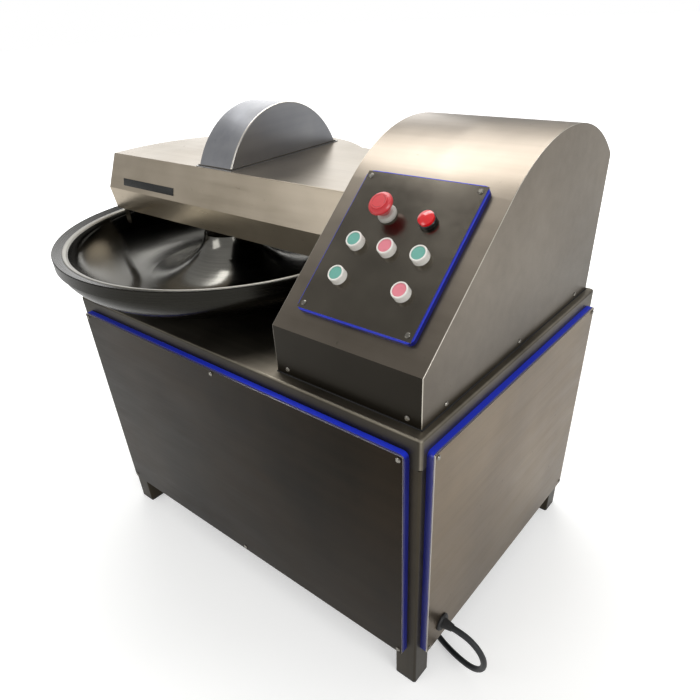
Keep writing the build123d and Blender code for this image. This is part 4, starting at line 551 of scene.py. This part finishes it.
@dataclass(frozen=True)
class Rubber(Finish):
    """Rubber or silicone: matt, slightly dusty, with a fine moulded texture."""

    colour: str
    dusty: str
    roughness: float
    # Brighter colour of faces turned up: painted light.
    upper: str = ""
    lit_upper_range: Range = (0.2, 0.9)
    dust_share: float = 0.4
    dust_range: Range = (0.4, 0.8)
    dust_roughness: float = 0.2
    skin_depth: float = 0.00012
    skin_strength: float = 0.4

    def paint(self, graph: Graph) -> None:
        """Dust in patches over a fine texture, and a painted highlight: a brighter colour on faces
        turned up.
        """
        dust = graph.ramp(DUST.lay(graph), *self.dust_range)
        colour = graph.blend(self.dust_share * dust, linear(self.colour), linear(self.dusty))
        # Painted light: faces turned up take the brighter colour.
        if self.upper:
            turned = graph.ramp(graph.facing(Way.UP.value), *self.lit_upper_range)
            colour = graph.blend(turned, colour, linear(self.upper))
        rough = self.roughness + self.dust_roughness * (dust - 0.4)
        graph.dress(Base_Color=colour, Roughness=rough.clamped())
        graph.relief(RUBBER_SKIN.lay(graph), self.skin_depth, self.skin_strength)


@dataclass(frozen=True)
class Moulded(Finish):
    """Glossy moulded plastic with handling marks and grime that gathers in patches."""

    colour: str
    grime: str
    roughness: float
    coat: float
    grimy: float = 0.25
    grime_range: Range = (0.5, 0.8)
    grime_roughness: float = 0.2
    scuff_roughness: float = 0.15
    scuff_depth: float = 0.00005
    scuff_strength: float = 0.3

    def tint(self, graph: Graph, colour: Shade) -> Shade:
        """The colour with whatever is marked on it; plain plastic has nothing."""
        return colour

    def paint(self, graph: Graph) -> None:
        """Patches of grime and short scuffs."""
        patches = graph.ramp(GRIME.lay(graph), *self.grime_range)
        scuffs = SCUFFS.lay(graph)
        colour = graph.blend(self.grimy * patches, linear(self.colour), linear(self.grime))
        colour = self.tint(graph, colour)
        rough = self.roughness + self.scuff_roughness * (scuffs - 0.5)
        rough = (rough + self.grime_roughness * patches).clamped()
        graph.dress(Base_Color=colour, Roughness=rough, Coat_Weight=self.coat)
        graph.relief(scuffs, self.scuff_depth, self.scuff_strength)


@dataclass(frozen=True)
class StopCap(Moulded):
    """Moulded cap with three darker arcs round its middle that show which way it turns."""

    middle: Place = STOP_AXIS
    arc_colour: str = "7a1218"
    arc_share: float = 0.7
    arc_radius: float = 0.0118
    arc_width: float = 0.0007
    arc_count: float = 3.0
    gap_range: Range = (-0.8, -0.6)
    front_range: Range = (0.85, 0.95)

    def tint(self, graph: Graph, colour: Shade) -> Shade:
        """Arcs at one distance from the cap's axis, broken in three places."""
        spot = graph.place(middle=self.middle)
        across, _, _ = graph.parts(spot)
        climb = graph.along(spot, PLATE_UPHILL)
        off = abs(graph.distance(across, climb) - self.arc_radius)
        ring = 1.0 - graph.ramp(off, self.arc_width * 0.5, self.arc_width)
        turn = graph.maths("ARCTAN2", climb, across)
        gaps = graph.ramp(graph.maths("SINE", turn * self.arc_count), *self.gap_range)
        front = graph.ramp(graph.facing(PLATE_NORMAL), *self.front_range)
        shown = self.arc_share * ring * gaps * front
        return graph.blend(shown, colour, linear(self.arc_colour))


@dataclass(frozen=True)
class LitLens(Finish):
    """Ribbed lamp lens, coloured through and lit a little from inside."""

    colour: str
    glow: float
    deep: str = "8c0c0c"
    deep_share: float = 0.35
    roughness: float = 0.14
    haze_roughness: float = 0.1
    coat: float = 0.6
    rib_pitch: float = 2400.0
    rib_depth: float = 0.0002
    rib_strength: float = 0.25

    def paint(self, graph: Graph) -> None:
        """Fine ribs across the lens and a stronger colour where they are thick."""
        x, _, _ = graph.parts(graph.place())
        ribs = graph.maths("SINE", x * self.rib_pitch) * 0.5 + 0.5
        haze = HAZE.lay(graph)
        deep = self.deep_share * ribs * haze
        colour = graph.blend(deep, linear(self.colour), linear(self.deep))
        rough = self.roughness + self.haze_roughness * haze
        graph.dress(Base_Color=colour, Roughness=rough, Coat_Weight=self.coat)
        graph.dress(Emission_Color=colour, Emission_Strength=self.glow)
        graph.relief(ribs, self.rib_depth, self.rib_strength)


@dataclass(frozen=True)
class Finishes:
    """Every finish of the machine."""

    # The front and rear covers take a darker copy and the side covers a lighter copy of one steel:
    # painted shade on the front, painted light on the sides.
    front_cover: Finish = SheetSteel("front_cover_shaded_steel", "130f08", "2b2217", edges=Edge.CUT_Y)
    side_cover: Finish = SheetSteel(
        "side_cover_lit_steel",
        "66594a",
        "82735f",
        along=Along.Y,
        edges=Edge.CUT_X,
        # Painted shade, darker towards the bottom.
        low_shade=0.3,
        low_shade_range=(0.0, 0.4),
    )
    frame: Finish = SheetSteel("frame_steel", "2a261f", "484238", along=Along.Z, roughness=0.42)
    table: Finish = SheetSteel(
        "table_steel",
        "6b655a",
        "a09889",
        roughness=0.42,
        anisotropy=0.3,
        # Painted shade on the faces turned to the front and to the right.
        facing_shade=((Way.FRONT, 0.85), (Way.RIGHT, 0.55)),
    )
    housing: Finish = SheetSteel(
        "housing_steel",
        "7d7468",
        "9d9386",
        edges=Edge.FOLD,
        roughness=0.34,
        # Painted shade on the faces turned to the front.
        facing_shade=((Way.FRONT, 0.9),),
        # Painted shade, darker towards the bottom.
        low_shade=0.6,
        low_shade_range=(0.62, 1.0),
    )
    plate: Finish = SheetSteel(
        "control_plate_steel",
        "4b4740",
        "716b61",
        along=Along.NONE,
        edges=Edge.CUT_SLOPE,
        roughness=0.2,
    )
    lid: Finish = SheetSteel(
        "lid_steel",
        "a89c89",
        "c8bcaa",
        roughness=0.32,
        # Painted shade on the faces turned up.
        facing_shade=((Way.UP, 0.4),),
        # Painted shade inside the lid.
        inside_shade=0.9,
        inside_behind=0.02,
    )
    dome: Finish = SheetSteel(
        "dome_steel", "85878d", "a9a9ab", edges=Edge.FOLD, along=Along.Y, roughness=0.34
    )
    # The bowl's outside and underside get painted shade.
    bowl: Finish = TurnedSteel(
        "bowl_steel", BOWL_AXIS, False, "4a4945", "8d8b84", 0.15, 0.7, outside_shade=0.9
    )
    rim_lip: Finish = TurnedSteel("rim_lip_steel", BOWL_AXIS, False, "6f6d67", "a19e96", 0.3)
    knife: Finish = TurnedSteel("knife_steel", KNIFE_AXIS, True, "8f9092", "c9cacb", 0.18, 0.5)
    screw: Finish = SheetSteel(
        "screw_steel", "6a6761", "9b978f", along=Along.NONE, roughness=0.26, anisotropy=0.0
    )
    shaft: Finish = TurnedSteel("shaft_steel", KNIFE_AXIS, True, "85868a", "bdbec0", 0.25, 0.4)
    bearing: Finish = TurnedSteel("bearing_steel", KNIFE_AXIS, True, "74767a", "a9abae", 0.2, 0.3)
    casting: Finish = Casting("cast_metal", "77797b", "45474a", 0.55, 1.0)
    motor: Finish = Casting("motor_paint", "3f6d8c", "30343a", 0.42)
    # Gasket: its faces turned up get a brighter blue, painted light.
    gasket: Finish = Rubber("gasket_rubber", "0e1670", "1a2688", 0.38, upper="2238d6")
    weld: Finish = Casting("weld_seam", "5a5650", "2b2824", 0.45, 1.0, 420.0)
    black_rubber: Finish = Rubber("black_rubber", "131314", "2c2c2d", 0.62)
    cord: Finish = Rubber("cord_rubber", "17191b", "2b2e31", 0.5)
    plug: Finish = Moulded("plug_plastic", "1f4fa3", "1a2440", 0.4, 0.1)
    foot: Finish = Moulded("foot_plastic", "1a1a1a", "3a3733", 0.55, 0.0)
    collar: Finish = Moulded("collar_plastic", "f1ede6", "a79f92", 0.26, 0.35)
    green_cap: Finish = Moulded("green_cap_plastic", "67a99b", "40786c", 0.3, 0.35)
    pink_cap: Finish = Moulded("pink_cap_plastic", "e0808d", "ac4b5e", 0.3, 0.35)
    stop_cap: Finish = StopCap("stop_cap_plastic", "cf373d", "98232a", 0.32, 0.3)
    stop_collar: Finish = Moulded("stop_collar_plastic", "b5b2ab", "6f6b64", 0.35, 0.2)
    bezel: Finish = Moulded("bezel_plastic", "141416", "3c3a38", 0.3, 0.3)
    lens: Finish = LitLens("lamp_lens_red", "cc1019", 0.22)
    strip: Finish = Moulded("blank_strip_enamel", "0a0d0c", "1b211f", 0.5, 0.0)
    sealant: Finish = Rubber("sealant_black", "0d0d0d", "262524", 0.7)


FINISHES = Finishes()


def dress(frame: dict, finish: Finish, *nodes: str) -> None:
    """Gives a finish to CAD nodes.

    Args:
        frame: what the frame's load returned.
        finish: finish for all the nodes.
        nodes: names of the nodes.
    """
    for name in nodes:
        mesh = frame["nodes"][name].data
        mesh.materials.clear()
        mesh.materials.append(finish.material())
        LOG.info("dressed %s in %s", name, finish.name)


def settle(
    name: str, shape: bmesh.types.BMesh, finish: Finish, body: str
) -> bpy.types.Object:
    """Turns a finished shape into a piece of the scene.

    Args:
        name: name of the piece.
        shape: its mesh, in the machine's own frame; it is freed.
        finish: its finish.
        body: the body that carries it.

    Returns:
        The new object.
    """
    mesh = bpy.data.meshes.new(name)
    shape.to_mesh(mesh)
    shape.free()
    piece = bpy.data.objects.new(name, mesh)
    bpy.context.scene.collection.objects.link(piece)
    mesh.materials.append(finish.material())
    mesh.shade_smooth()
    mesh.set_sharp_from_angle(angle=math.radians(SHARP_ANGLE))
    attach(piece, body)
    LOG.info("built %s on %s", name, body)
    return piece


def put_in_order(shape: bmesh.types.BMesh) -> None:
    """Orders a mesh's edges and faces by their corners, so that every run gives the same mesh."""
    shape.verts.index_update()
    count = len(shape.verts)

    def rank(part: Union[bmesh.types.BMEdge, bmesh.types.BMFace]) -> int:
        """Number that only one edge or face has."""
        corners = [corner.index for corner in part.verts]
        return min(corners) * count + max(corners)

    for parts in (shape.edges, shape.faces):
        parts.sort(key=rank)


def bead(
    low: Sequence[float], high: Sequence[float], level: float, radius: float
) -> bmesh.types.BMesh:
    """Round bead along the four sides of an upright box.

    Args:
        low: X and Y of the box's lower corner.
        high: X and Y of its upper corner.
        level: height of the bead's middle.
        radius: radius of the bead.

    Returns:
        Its mesh, four closed rods that meet at the corners.
    """
    corners = [(low[0], low[1]), (high[0], low[1]), (high[0], high[1]), (low[0], high[1])]
    shape = bmesh.new()
    for (x0, y0), (x1, y1) in zip(corners, corners[1:] + corners[:1]):
        middle = Vector(((x0 + x1) / 2, (y0 + y1) / 2, level))
        run = Vector((x1 - x0, y1 - y0, 0.0))
        turn = run.to_track_quat("Z", "Y").to_matrix().to_4x4()
        bmesh.ops.create_cone(
            shape,
            cap_ends=True,
            segments=BEAD_SIDES,
            radius1=radius,
            radius2=radius,
            depth=run.length + radius,
            matrix=Matrix.Translation(middle) @ turn,
        )
    return shape


# ---------------------------------------------------------------- sub-assemblies
@dataclass
class Cabinet:
    """Frame, table and covers."""

    frame: dict
    bead_radius: float = 0.0016
    bead_rise: float = 0.4

    def build(self) -> None:
        """Dresses the cabinet and seals the control housing to the table."""
        dress(self.frame, FINISHES.frame, "base_frame")
        dress(self.frame, FINISHES.foot, "foot_pads")
        dress(self.frame, FINISHES.table, "table_top")
        dress(self.frame, FINISHES.front_cover, "front_cover", "rear_cover")
        dress(self.frame, FINISHES.side_cover, "right_cover", "left_cover")
        gaskets = [f"{side}_gasket" for side in ("front", "right", "left", "rear")]
        dress(self.frame, FINISHES.gasket, *gaskets)
        dress(self.frame, FINISHES.screw, "panel_screws")
        self.sealant_bead()

    def sealant_bead(self) -> bpy.types.Object:
        """Bead of sealant on the table round the foot of the control housing."""
        low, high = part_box("control_housing")
        level = low.z + self.bead_radius * self.bead_rise
        shape = bead(low, high, level, self.bead_radius)
        return settle("housing_sealant", shape, FINISHES.sealant, "base")


@dataclass
class Controls:
    """Control housing with its plate, buttons, emergency stop and lamp."""

    frame: dict

    def build(self) -> None:
        """Dresses the housing and everything on its plate."""
        dress(self.frame, FINISHES.housing, "control_housing")
        dress(self.frame, FINISHES.plate, "control_plate")
        dress(self.frame, FINISHES.gasket, "control_gasket")
        dress(self.frame, FINISHES.collar, "button_collars")
        green = ("knife_start_button", "knife_slow_button", "bowl_start_button")
        dress(self.frame, FINISHES.green_cap, *green)
        dress(self.frame, FINISHES.pink_cap, "knife_stop_button", "bowl_stop_button")
        dress(self.frame, FINISHES.stop_collar, "estop_collar")
        dress(self.frame, FINISHES.stop_cap, "estop_button")
        dress(self.frame, FINISHES.bezel, "lamp_bezel")
        dress(self.frame, FINISHES.lens, "lamp_lens")


@dataclass
class BowlDrive:
    """Bowl with its shaft, bearing housing, gearbox and motor."""

    frame: dict
    rim_outside: tuple[float, float] = (0.4055, 0.770)
    rim_inside: tuple[float, float] = (0.3740, 0.760)
    lip_width: float = 0.0125
    lip_height: float = 0.0032
    lip_sink: float = 0.0008
    lip_inset: float = 0.0004
    lip_fullness: float = 0.6
    lip_segments: int = 10
    lip_steps: int = 180

    def rim_level(self, radius: float) -> float:
        """Height of the rim's sloping face at a distance from the axis."""
        (outer, high), (inner, low) = self.rim_outside, self.rim_inside
        return low + (high - low) * (radius - inner) / (outer - inner)

    def rim_lip(self) -> bpy.types.Object:
        """Polished half-round lip that runs round the inner edge of the rim."""
        lip = bmesh.new()
        middle_x, middle_y, _ = BOWL_AXIS
        inner = self.rim_inside[0] + self.lip_inset
        ring = []
        for index in range(self.lip_segments + 1):
            share = index / self.lip_segments
            radius = inner + self.lip_width * share
            rise = math.sin(math.pi * share) ** self.lip_fullness
            swell = self.lip_height * rise - self.lip_sink
            spot = (middle_x + radius, middle_y, self.rim_level(radius) + swell)
            ring.append(lip.verts.new(spot))
        edges = [lip.edges.new(pair) for pair in zip(ring, ring[1:])]
        edges.append(lip.edges.new((ring[-1], ring[0])))
        bmesh.ops.spin(
            lip,
            geom=ring + edges,
            cent=(middle_x, middle_y, 0.0),
            axis=(0.0, 0.0, 1.0),
            angle=math.tau,
            steps=self.lip_steps,
            use_merge=True,
        )
        put_in_order(lip)
        return settle("bowl_rim_lip", lip, FINISHES.rim_lip, "bowl")

    def build(self) -> None:
        """Adds the lip and dresses the bowl and what turns it."""
        self.rim_lip()
        dress(self.frame, FINISHES.bowl, "bowl", "hub_cap", "bowl_nut", "bowl_flange")
        dress(self.frame, FINISHES.shaft, "bowl_shaft")
        dress(self.frame, FINISHES.bearing, "bowl_bearings")
        dress(self.frame, FINISHES.casting, "bowl_bearing_housing")
        dress(self.frame, FINISHES.motor, "bowl_gearbox", "bowl_motor")


@dataclass
class KnifeDrive:
    """Knives with their shaft, bearing arm, belts and motor."""

    frame: dict

    def build(self) -> None:
        """Dresses the knives and what turns them."""
        knives = [f"knife_{number}" for number in (1, 2, 3)]
        dress(self.frame, FINISHES.knife, *knives, "knife_spacers", "knife_nut")
        dress(self.frame, FINISHES.shaft, "knife_shaft", "motor_shaft")
        dress(self.frame, FINISHES.bearing, "spindle_bearings")
        dress(self.frame, FINISHES.casting, "spindle_housing", "spindle_pedestal")
        dress(self.frame, FINISHES.casting, "knife_pulley", "motor_pulley")
        dress(self.frame, FINISHES.black_rubber, "knife_belts")
        dress(self.frame, FINISHES.motor, "knife_motor")
        dress(self.frame, FINISHES.frame, "motor_plate")


@dataclass
class Lid:
    """Lid over the knives, with its dome, hinge, guide tab and the blank strip on its front."""

    frame: dict
    strip_left: float = -0.490
    strip_right: float = -0.284
    strip_bottom: float = 0.8432
    strip_height: float = 0.0175
    strip_thickness: float = 0.0012
    strip_edge: float = 0.0004
    fold_height: float = 0.832
    fold_front: float = -0.079
    top_height: float = 0.915
    top_front: float = -0.058
    tab_middle: Place = (-0.517, -0.0695, 0.762)
    tab_size: Place = (0.020, 0.0015, 0.044)
    tab_corner: float = 0.008
    flange_width: float = 0.005
    flange_thickness: float = 0.0015
    dome_half_chord: float = 0.1732
    weld_radius: float = 0.0019
    weld_rise: float = 0.3

    def build(self) -> None:
        """Dresses the lid and adds the strip, the guide tab and the dome's weld."""
        dress(self.frame, FINISHES.lid, "lid_shell")
        dress(self.frame, FINISHES.dome, "knife_dome")
        dress(self.frame, FINISHES.shaft, "hinge_pin")
        dress(self.frame, FINISHES.frame, "hinge_posts", "lid_rest")
        dress(self.frame, FINISHES.black_rubber, "lid_bumper")
        self.blank_strip()
        self.guide_tab()
        self.dome_weld()

    def dome_weld(self) -> bpy.types.Object:
        """Weld seam round the foot of the dome, on its flange."""
        low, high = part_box("knife_dome")
        middle = (low.y + high.y) / 2
        left, right = low.x + self.flange_width, high.x - self.flange_width
        near, far = middle - self.dome_half_chord, middle + self.dome_half_chord
        level = self.top_height + self.flange_thickness + self.weld_radius * self.weld_rise
        shape = bead((left, near), (right, far), level, self.weld_radius)
        return settle("dome_weld", shape, FINISHES.weld, "lid")

    def guide_tab(self) -> bpy.types.Object:
        """Small tab that hangs from the lid's lower edge and turns the meat inwards."""
        tab = bmesh.new()
        bmesh.ops.create_cube(tab, size=1.0, matrix=Matrix.Diagonal((*self.tab_size, 1.0)))
        low = [edge for edge in tab.edges if edge.calc_length() < 2 * self.tab_size[1]]
        low = [edge for edge in low if all(corner.co.z < 0 for corner in edge.verts)]
        bmesh.ops.bevel(
            tab,
            geom=low,
            offset=self.tab_corner,
            affect="EDGES",
            segments=5,
            profile=0.5,
            material=-1,
        )
        bmesh.ops.transform(tab, matrix=Matrix.Translation(self.tab_middle), verts=tab.verts[:])
        return settle("lid_guide_tab", tab, FINISHES.frame, "lid")

    def blank_strip(self) -> bpy.types.Object:
        """Plain enamelled strip that lies on the lid's leaning front face."""
        lean = math.atan2(self.top_front - self.fold_front, self.top_height - self.fold_height)
        width = self.strip_right - self.strip_left
        up = self.strip_bottom + self.strip_height / 2 - self.fold_height
        face = self.fold_front + up * math.tan(lean)
        strip = bmesh.new()
        size = Matrix.Diagonal((width, self.strip_thickness, self.strip_height, 1.0))
        bmesh.ops.create_cube(strip, size=1.0, matrix=size)
        bmesh.ops.bevel(
            strip,
            geom=strip.edges[:],
            offset=self.strip_edge,
            affect="EDGES",
            segments=2,
            profile=0.5,
            material=-1,
        )
        across = self.strip_left + width / 2
        middle = Vector((across, face - self.strip_thickness / 2, self.fold_height + up))
        turn = Matrix.Rotation(-lean, 4, "X")
        bmesh.ops.transform(strip, matrix=Matrix.Translation(middle) @ turn, verts=strip.verts[:])
        return settle("lid_blank_strip", strip, FINISHES.strip, "lid")


@dataclass
class PowerCord:
    """Mains lead from its grommet over the floor to a coil under the machine, and its plug."""

    frame: dict
    radius: float = 0.0065
    exit_point: Place = (0.622, -0.240, 0.144)
    route: list[Place] = field(
        default_factory=lambda: [
            (0.648, -0.240, 0.144),
            (0.673, -0.2395, 0.1325),
            (0.6905, -0.238, 0.111),
            (0.697, -0.2355, 0.084),
            (0.691, -0.232, 0.057),
            (0.674, -0.227, 0.0355),
            (0.648, -0.2195, 0.022),
            (0.612, -0.208, 0.0125),
            (0.566, -0.191, 0.0065),
            (0.508, -0.163, 0.0065),
            (0.452, -0.127, 0.0065),
            (0.402, -0.078, 0.0065),
        ]
    )
    coil_middle: tuple[float, float] = (0.300, 0.040)
    winding_radius: float = 0.078
    points_per_turn: int = 16
    full_turns: int = 4
    layers: int = 3
    tail_angle: float = 90.0
    tail_places: tuple[float, ...] = (0.270, 0.240, 0.205)
    length: float = 2.65

    def winding(self) -> list[Place]:
        """Knots of the winding: turns from its start, distance inwards and height, in cords."""
        return [
            (0.0, 0.0, 0.0),
            (0.75, 0.0, 0.0),
            (1.0, 1.0, 0.0),
            (1.5, 1.0, 0.0),
            (1.75, 1.0, 1.0),
            (2.375, 1.0, 1.0),
            (2.625, 0.0, 1.0),
            (3.235, 0.0, 1.0),
            (3.47, 0.0, 2.0),
            (self.full_turns + 1.0, 0.0, 2.0),
        ]

    def wound(self, turns: float) -> tuple[float, float]:
        """Distance inwards and height, in cords, after some turns."""
        knots = self.winding()
        for (start, *low), (end, *high) in zip(knots, knots[1:]):
            if start <= turns <= end:
                share = (turns - start) / (end - start)
                inwards, layer = (one + share * (two - one) for one, two in zip(low, high))
                return inwards, layer
        return knots[-1][1:]

    def start_angle(self) -> float:
        """Angle, in degrees, at which the lead meets the coil's outer turn."""
        last = self.route[-1]
        away = Vector((last[0] - self.coil_middle[0], last[1] - self.coil_middle[1]))
        toward = math.degrees(math.atan2(away.y, away.x))
        return toward + math.degrees(math.acos(self.winding_radius / away.length))

    def coil(self) -> Iterable[Place]:
        """Points of the coil's turns, a little outside the turns that their curve makes."""
        start = self.start_angle()
        sweep = (self.tail_angle - start) / 360 + self.full_turns
        count = round(sweep * self.points_per_turn)
        cord = 2 * self.radius
        shrink = math.cos(math.pi / self.points_per_turn)
        for index in range(count + 1):
            turns = sweep * index / count
            inwards, layer = self.wound(turns)
            outside = (self.winding_radius - inwards * cord) / shrink
            angle = math.radians(start + 360 * turns)
            yield (
                self.coil_middle[0] + outside * math.cos(angle),
                self.coil_middle[1] + outside * math.sin(angle),
                self.radius + layer * cord,
            )

    def points(self) -> list[Place]:
        """Every point of the cord's own curve."""
        top = self.radius * (2 * self.layers - 1)
        tail_y = self.coil_middle[1] + self.winding_radius
        tail = [(tail_x, tail_y, top) for tail_x in self.tail_places]
        return [self.exit_point, *self.route, *self.coil(), *tail]

    def curve(self) -> bpy.types.Curve:
        """The cord's own curve, a round section along its points."""
        places = self.points()
        curve = bpy.data.curves.new("power_lead", "CURVE")
        curve.dimensions = "3D"
        curve.bevel_depth = self.radius
        curve.bevel_resolution = 5
        curve.resolution_u = 6
        curve.use_fill_caps = True
        spline = curve.splines.new("NURBS")
        spline.points.add(len(places) - 1)
        for point, place in zip(spline.points, places):
            point.co = (*place, 1.0)
        spline.order_u = 3
        spline.use_endpoint_u = True
        curve.materials.append(FINISHES.cord.material())
        return curve

    def build(self) -> bpy.types.Object:
        """Lays the cord and dresses its plug and grommet."""
        dress(self.frame, FINISHES.plug, "cord_plug")
        dress(self.frame, FINISHES.black_rubber, "cord_grommet")
        lead = bpy.data.objects.new("power_lead", self.curve())
        bpy.context.scene.collection.objects.link(lead)
        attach(lead, "base")
        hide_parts("power_cord", "cord_coil")
        LOG.info("laid %s", lead.name)
        return lead


# ---------------------------------------------------------------- studio and camera
@dataclass(frozen=True)
class SoftBox:
    """One rectangular soft box: its middle, the point it faces, its size in metres and watts."""

    name: str
    place: Place
    target: Place
    size: tuple[float, float]
    power: float

    def hang(self) -> None:
        """Adds the light, out of the camera's sight."""
        lamp = bpy.data.lights.new(self.name, "AREA")
        lamp.shape = "RECTANGLE"
        lamp.size, lamp.size_y = self.size
        lamp.energy = self.power
        box = bpy.data.objects.new(self.name, lamp)
        box.visible_camera = False
        box.location = self.place
        view = Vector(self.target) - Vector(self.place)
        box.rotation_euler = view.to_track_quat("-Z", "Y").to_euler()
        bpy.context.scene.collection.objects.link(box)


@dataclass
class Studio:
    """Pale floor, soft boxes and a soft dome of light."""

    floor_side: float = 60.0
    floor_colour: str = "e6e6e4"
    floor_roughness: float = 0.9
    dust_colour: str = "d8d8d4"
    dust_share: float = 0.1
    floor_lift: float = 0.42
    floor_glow: float = 0.30
    lift_range: Range = (1.0, 2.4)
    dome_low: float = 0.50
    dome_high: float = 0.80
    boxes: tuple[SoftBox, ...] = (
        SoftBox("ceiling_box", (-0.55, 0.80, 2.9), (0.20, 0.05, 0.9), (2.1, 1.3), 42.0),
        SoftBox("window_box", (-3.9, 2.9, 2.2), (0.0, 0.0, 0.9), (4.6, 2.8), 64.0),
        SoftBox("right_box", (3.4, -0.9, 1.9), (0.2, 0.0, 0.5), (1.6, 1.8), 36.0),
        SoftBox("front_box", (-1.2, -3.4, 2.0), (0.0, 0.0, 0.6), (1.8, 1.4), 22.0),
    )

    def build(self) -> None:
        """Lays the floor and hangs the lights."""
        self.floor()
        self.dome()
        for box in self.boxes:
            box.hang()

    def floor_paint(self) -> bpy.types.Material:
        """Paint that the camera sees as white away from the machine."""
        graph = Graph("floor_paint")
        path = graph.node("ShaderNodeLightPath")
        camera = Shade(graph, path.outputs["Is Camera Ray"])
        x, y, _ = graph.parts(graph.place())
        away = graph.ramp(graph.distance(x, y), *self.lift_range)
        glossy = Shade(graph, path.outputs["Is Glossy Ray"])
        mirrored = glossy + Shade(graph, path.outputs["Is Transmission Ray"])
        dust = self.dust_share * FLOOR_DUST.lay(graph)
        colour = graph.blend(dust, linear(self.floor_colour), linear(self.dust_colour))
        lift = camera * (self.floor_lift + (1.0 - self.floor_lift) * away)
        graph.dress(Base_Color=colour, Roughness=self.floor_roughness, Specular_IOR_Level=0.0)
        graph.dress(Emission_Color=WHITE, Emission_Strength=lift + mirrored * self.floor_glow)
        return graph.material

    def floor(self) -> None:
        """Large pale floor that shows as white and keeps the shadow."""
        shape = bmesh.new()
        bmesh.ops.create_grid(shape, x_segments=1, y_segments=1, size=self.floor_side / 2)
        mesh = bpy.data.meshes.new("floor")
        shape.to_mesh(mesh)
        shape.free()
        floor = bpy.data.objects.new("floor", mesh)
        bpy.context.scene.collection.objects.link(floor)
        mesh.materials.append(self.floor_paint())

    def dome(self) -> None:
        """World that is dim at the horizon, brighter overhead and white to the camera."""
        world = bpy.data.worlds.new("studio_dome")
        bpy.context.scene.world = world
        world.use_nodes = True
        tree = world.node_tree
        tree.nodes.clear()
        coordinates = tree.nodes.new("ShaderNodeTexCoord")
        parts = tree.nodes.new("ShaderNodeSeparateXYZ")
        level = tree.nodes.new("ShaderNodeMapRange")
        level.inputs["To Min"].default_value = self.dome_low
        level.inputs["To Max"].default_value = self.dome_high
        sky = tree.nodes.new("ShaderNodeBackground")
        path = tree.nodes.new("ShaderNodeLightPath")
        white = tree.nodes.new("ShaderNodeBackground")
        white.inputs["Color"].default_value = WHITE
        choice = tree.nodes.new("ShaderNodeMixShader")
        output = tree.nodes.new("ShaderNodeOutputWorld")
        links = (
            (coordinates.outputs["Generated"], parts.inputs[0]),
            (parts.outputs["Z"], level.inputs["Value"]),
            (level.outputs[0], sky.inputs["Strength"]),
            (path.outputs["Is Camera Ray"], choice.inputs[0]),
            (sky.outputs[0], choice.inputs[1]),
            (white.outputs[0], choice.inputs[2]),
            (choice.outputs[0], output.inputs["Surface"]),
        )
        for source, goal in links:
            tree.links.new(source, goal)


@dataclass
class Viewpoint:
    """Camera in front of the machine, to its right and above it."""

    eye: Place = (0.9772, -0.9285, 1.2126)
    turn_axis: Place = (2.077, 0.720, -0.450)
    sensor: float = 36.0
    frame_pixels: float = 700.0
    focal_pixels: float = 601.24
    middle_pixels: tuple[float, float] = (343.4, 403.4)
    far_limit: float = 200.0

    def build(self) -> bpy.types.Object:
        """Sets up the camera and makes it the scene's own."""
        axis = Vector(self.turn_axis)
        into_lens = Matrix.Rotation(axis.length, 3, axis.normalized())
        flip = Matrix.Diagonal((1.0, -1.0, -1.0))
        camera = bpy.data.cameras.new("viewpoint")
        camera.sensor_width = self.sensor
        camera.lens = self.sensor * self.focal_pixels / self.frame_pixels
        half = self.frame_pixels / 2
        camera.shift_x = (half - self.middle_pixels[0]) / self.frame_pixels
        camera.shift_y = (self.middle_pixels[1] - half) / self.frame_pixels
        camera.clip_end = self.far_limit
        holder = bpy.data.objects.new("viewpoint", camera)
        turn = (into_lens.transposed() @ flip).to_4x4()
        holder.matrix_world = Matrix.Translation(Vector(self.eye)) @ turn
        bpy.context.scene.collection.objects.link(holder)
        bpy.context.scene.camera = holder
        return holder


def main() -> None:
    """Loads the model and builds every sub-assembly in order."""
    logging.basicConfig(level=logging.INFO, format="%(name)s: %(message)s")
    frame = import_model()
    bpy.context.scene.view_settings.view_transform = "Standard"
    Viewpoint().build()
    PowerCord(frame).build()
    Cabinet(frame).build()
    Controls(frame).build()
    BowlDrive(frame).build()
    KnifeDrive(frame).build()
    Lid(frame).build()
    Studio().build()


if __name__ == "__main__":
    main()
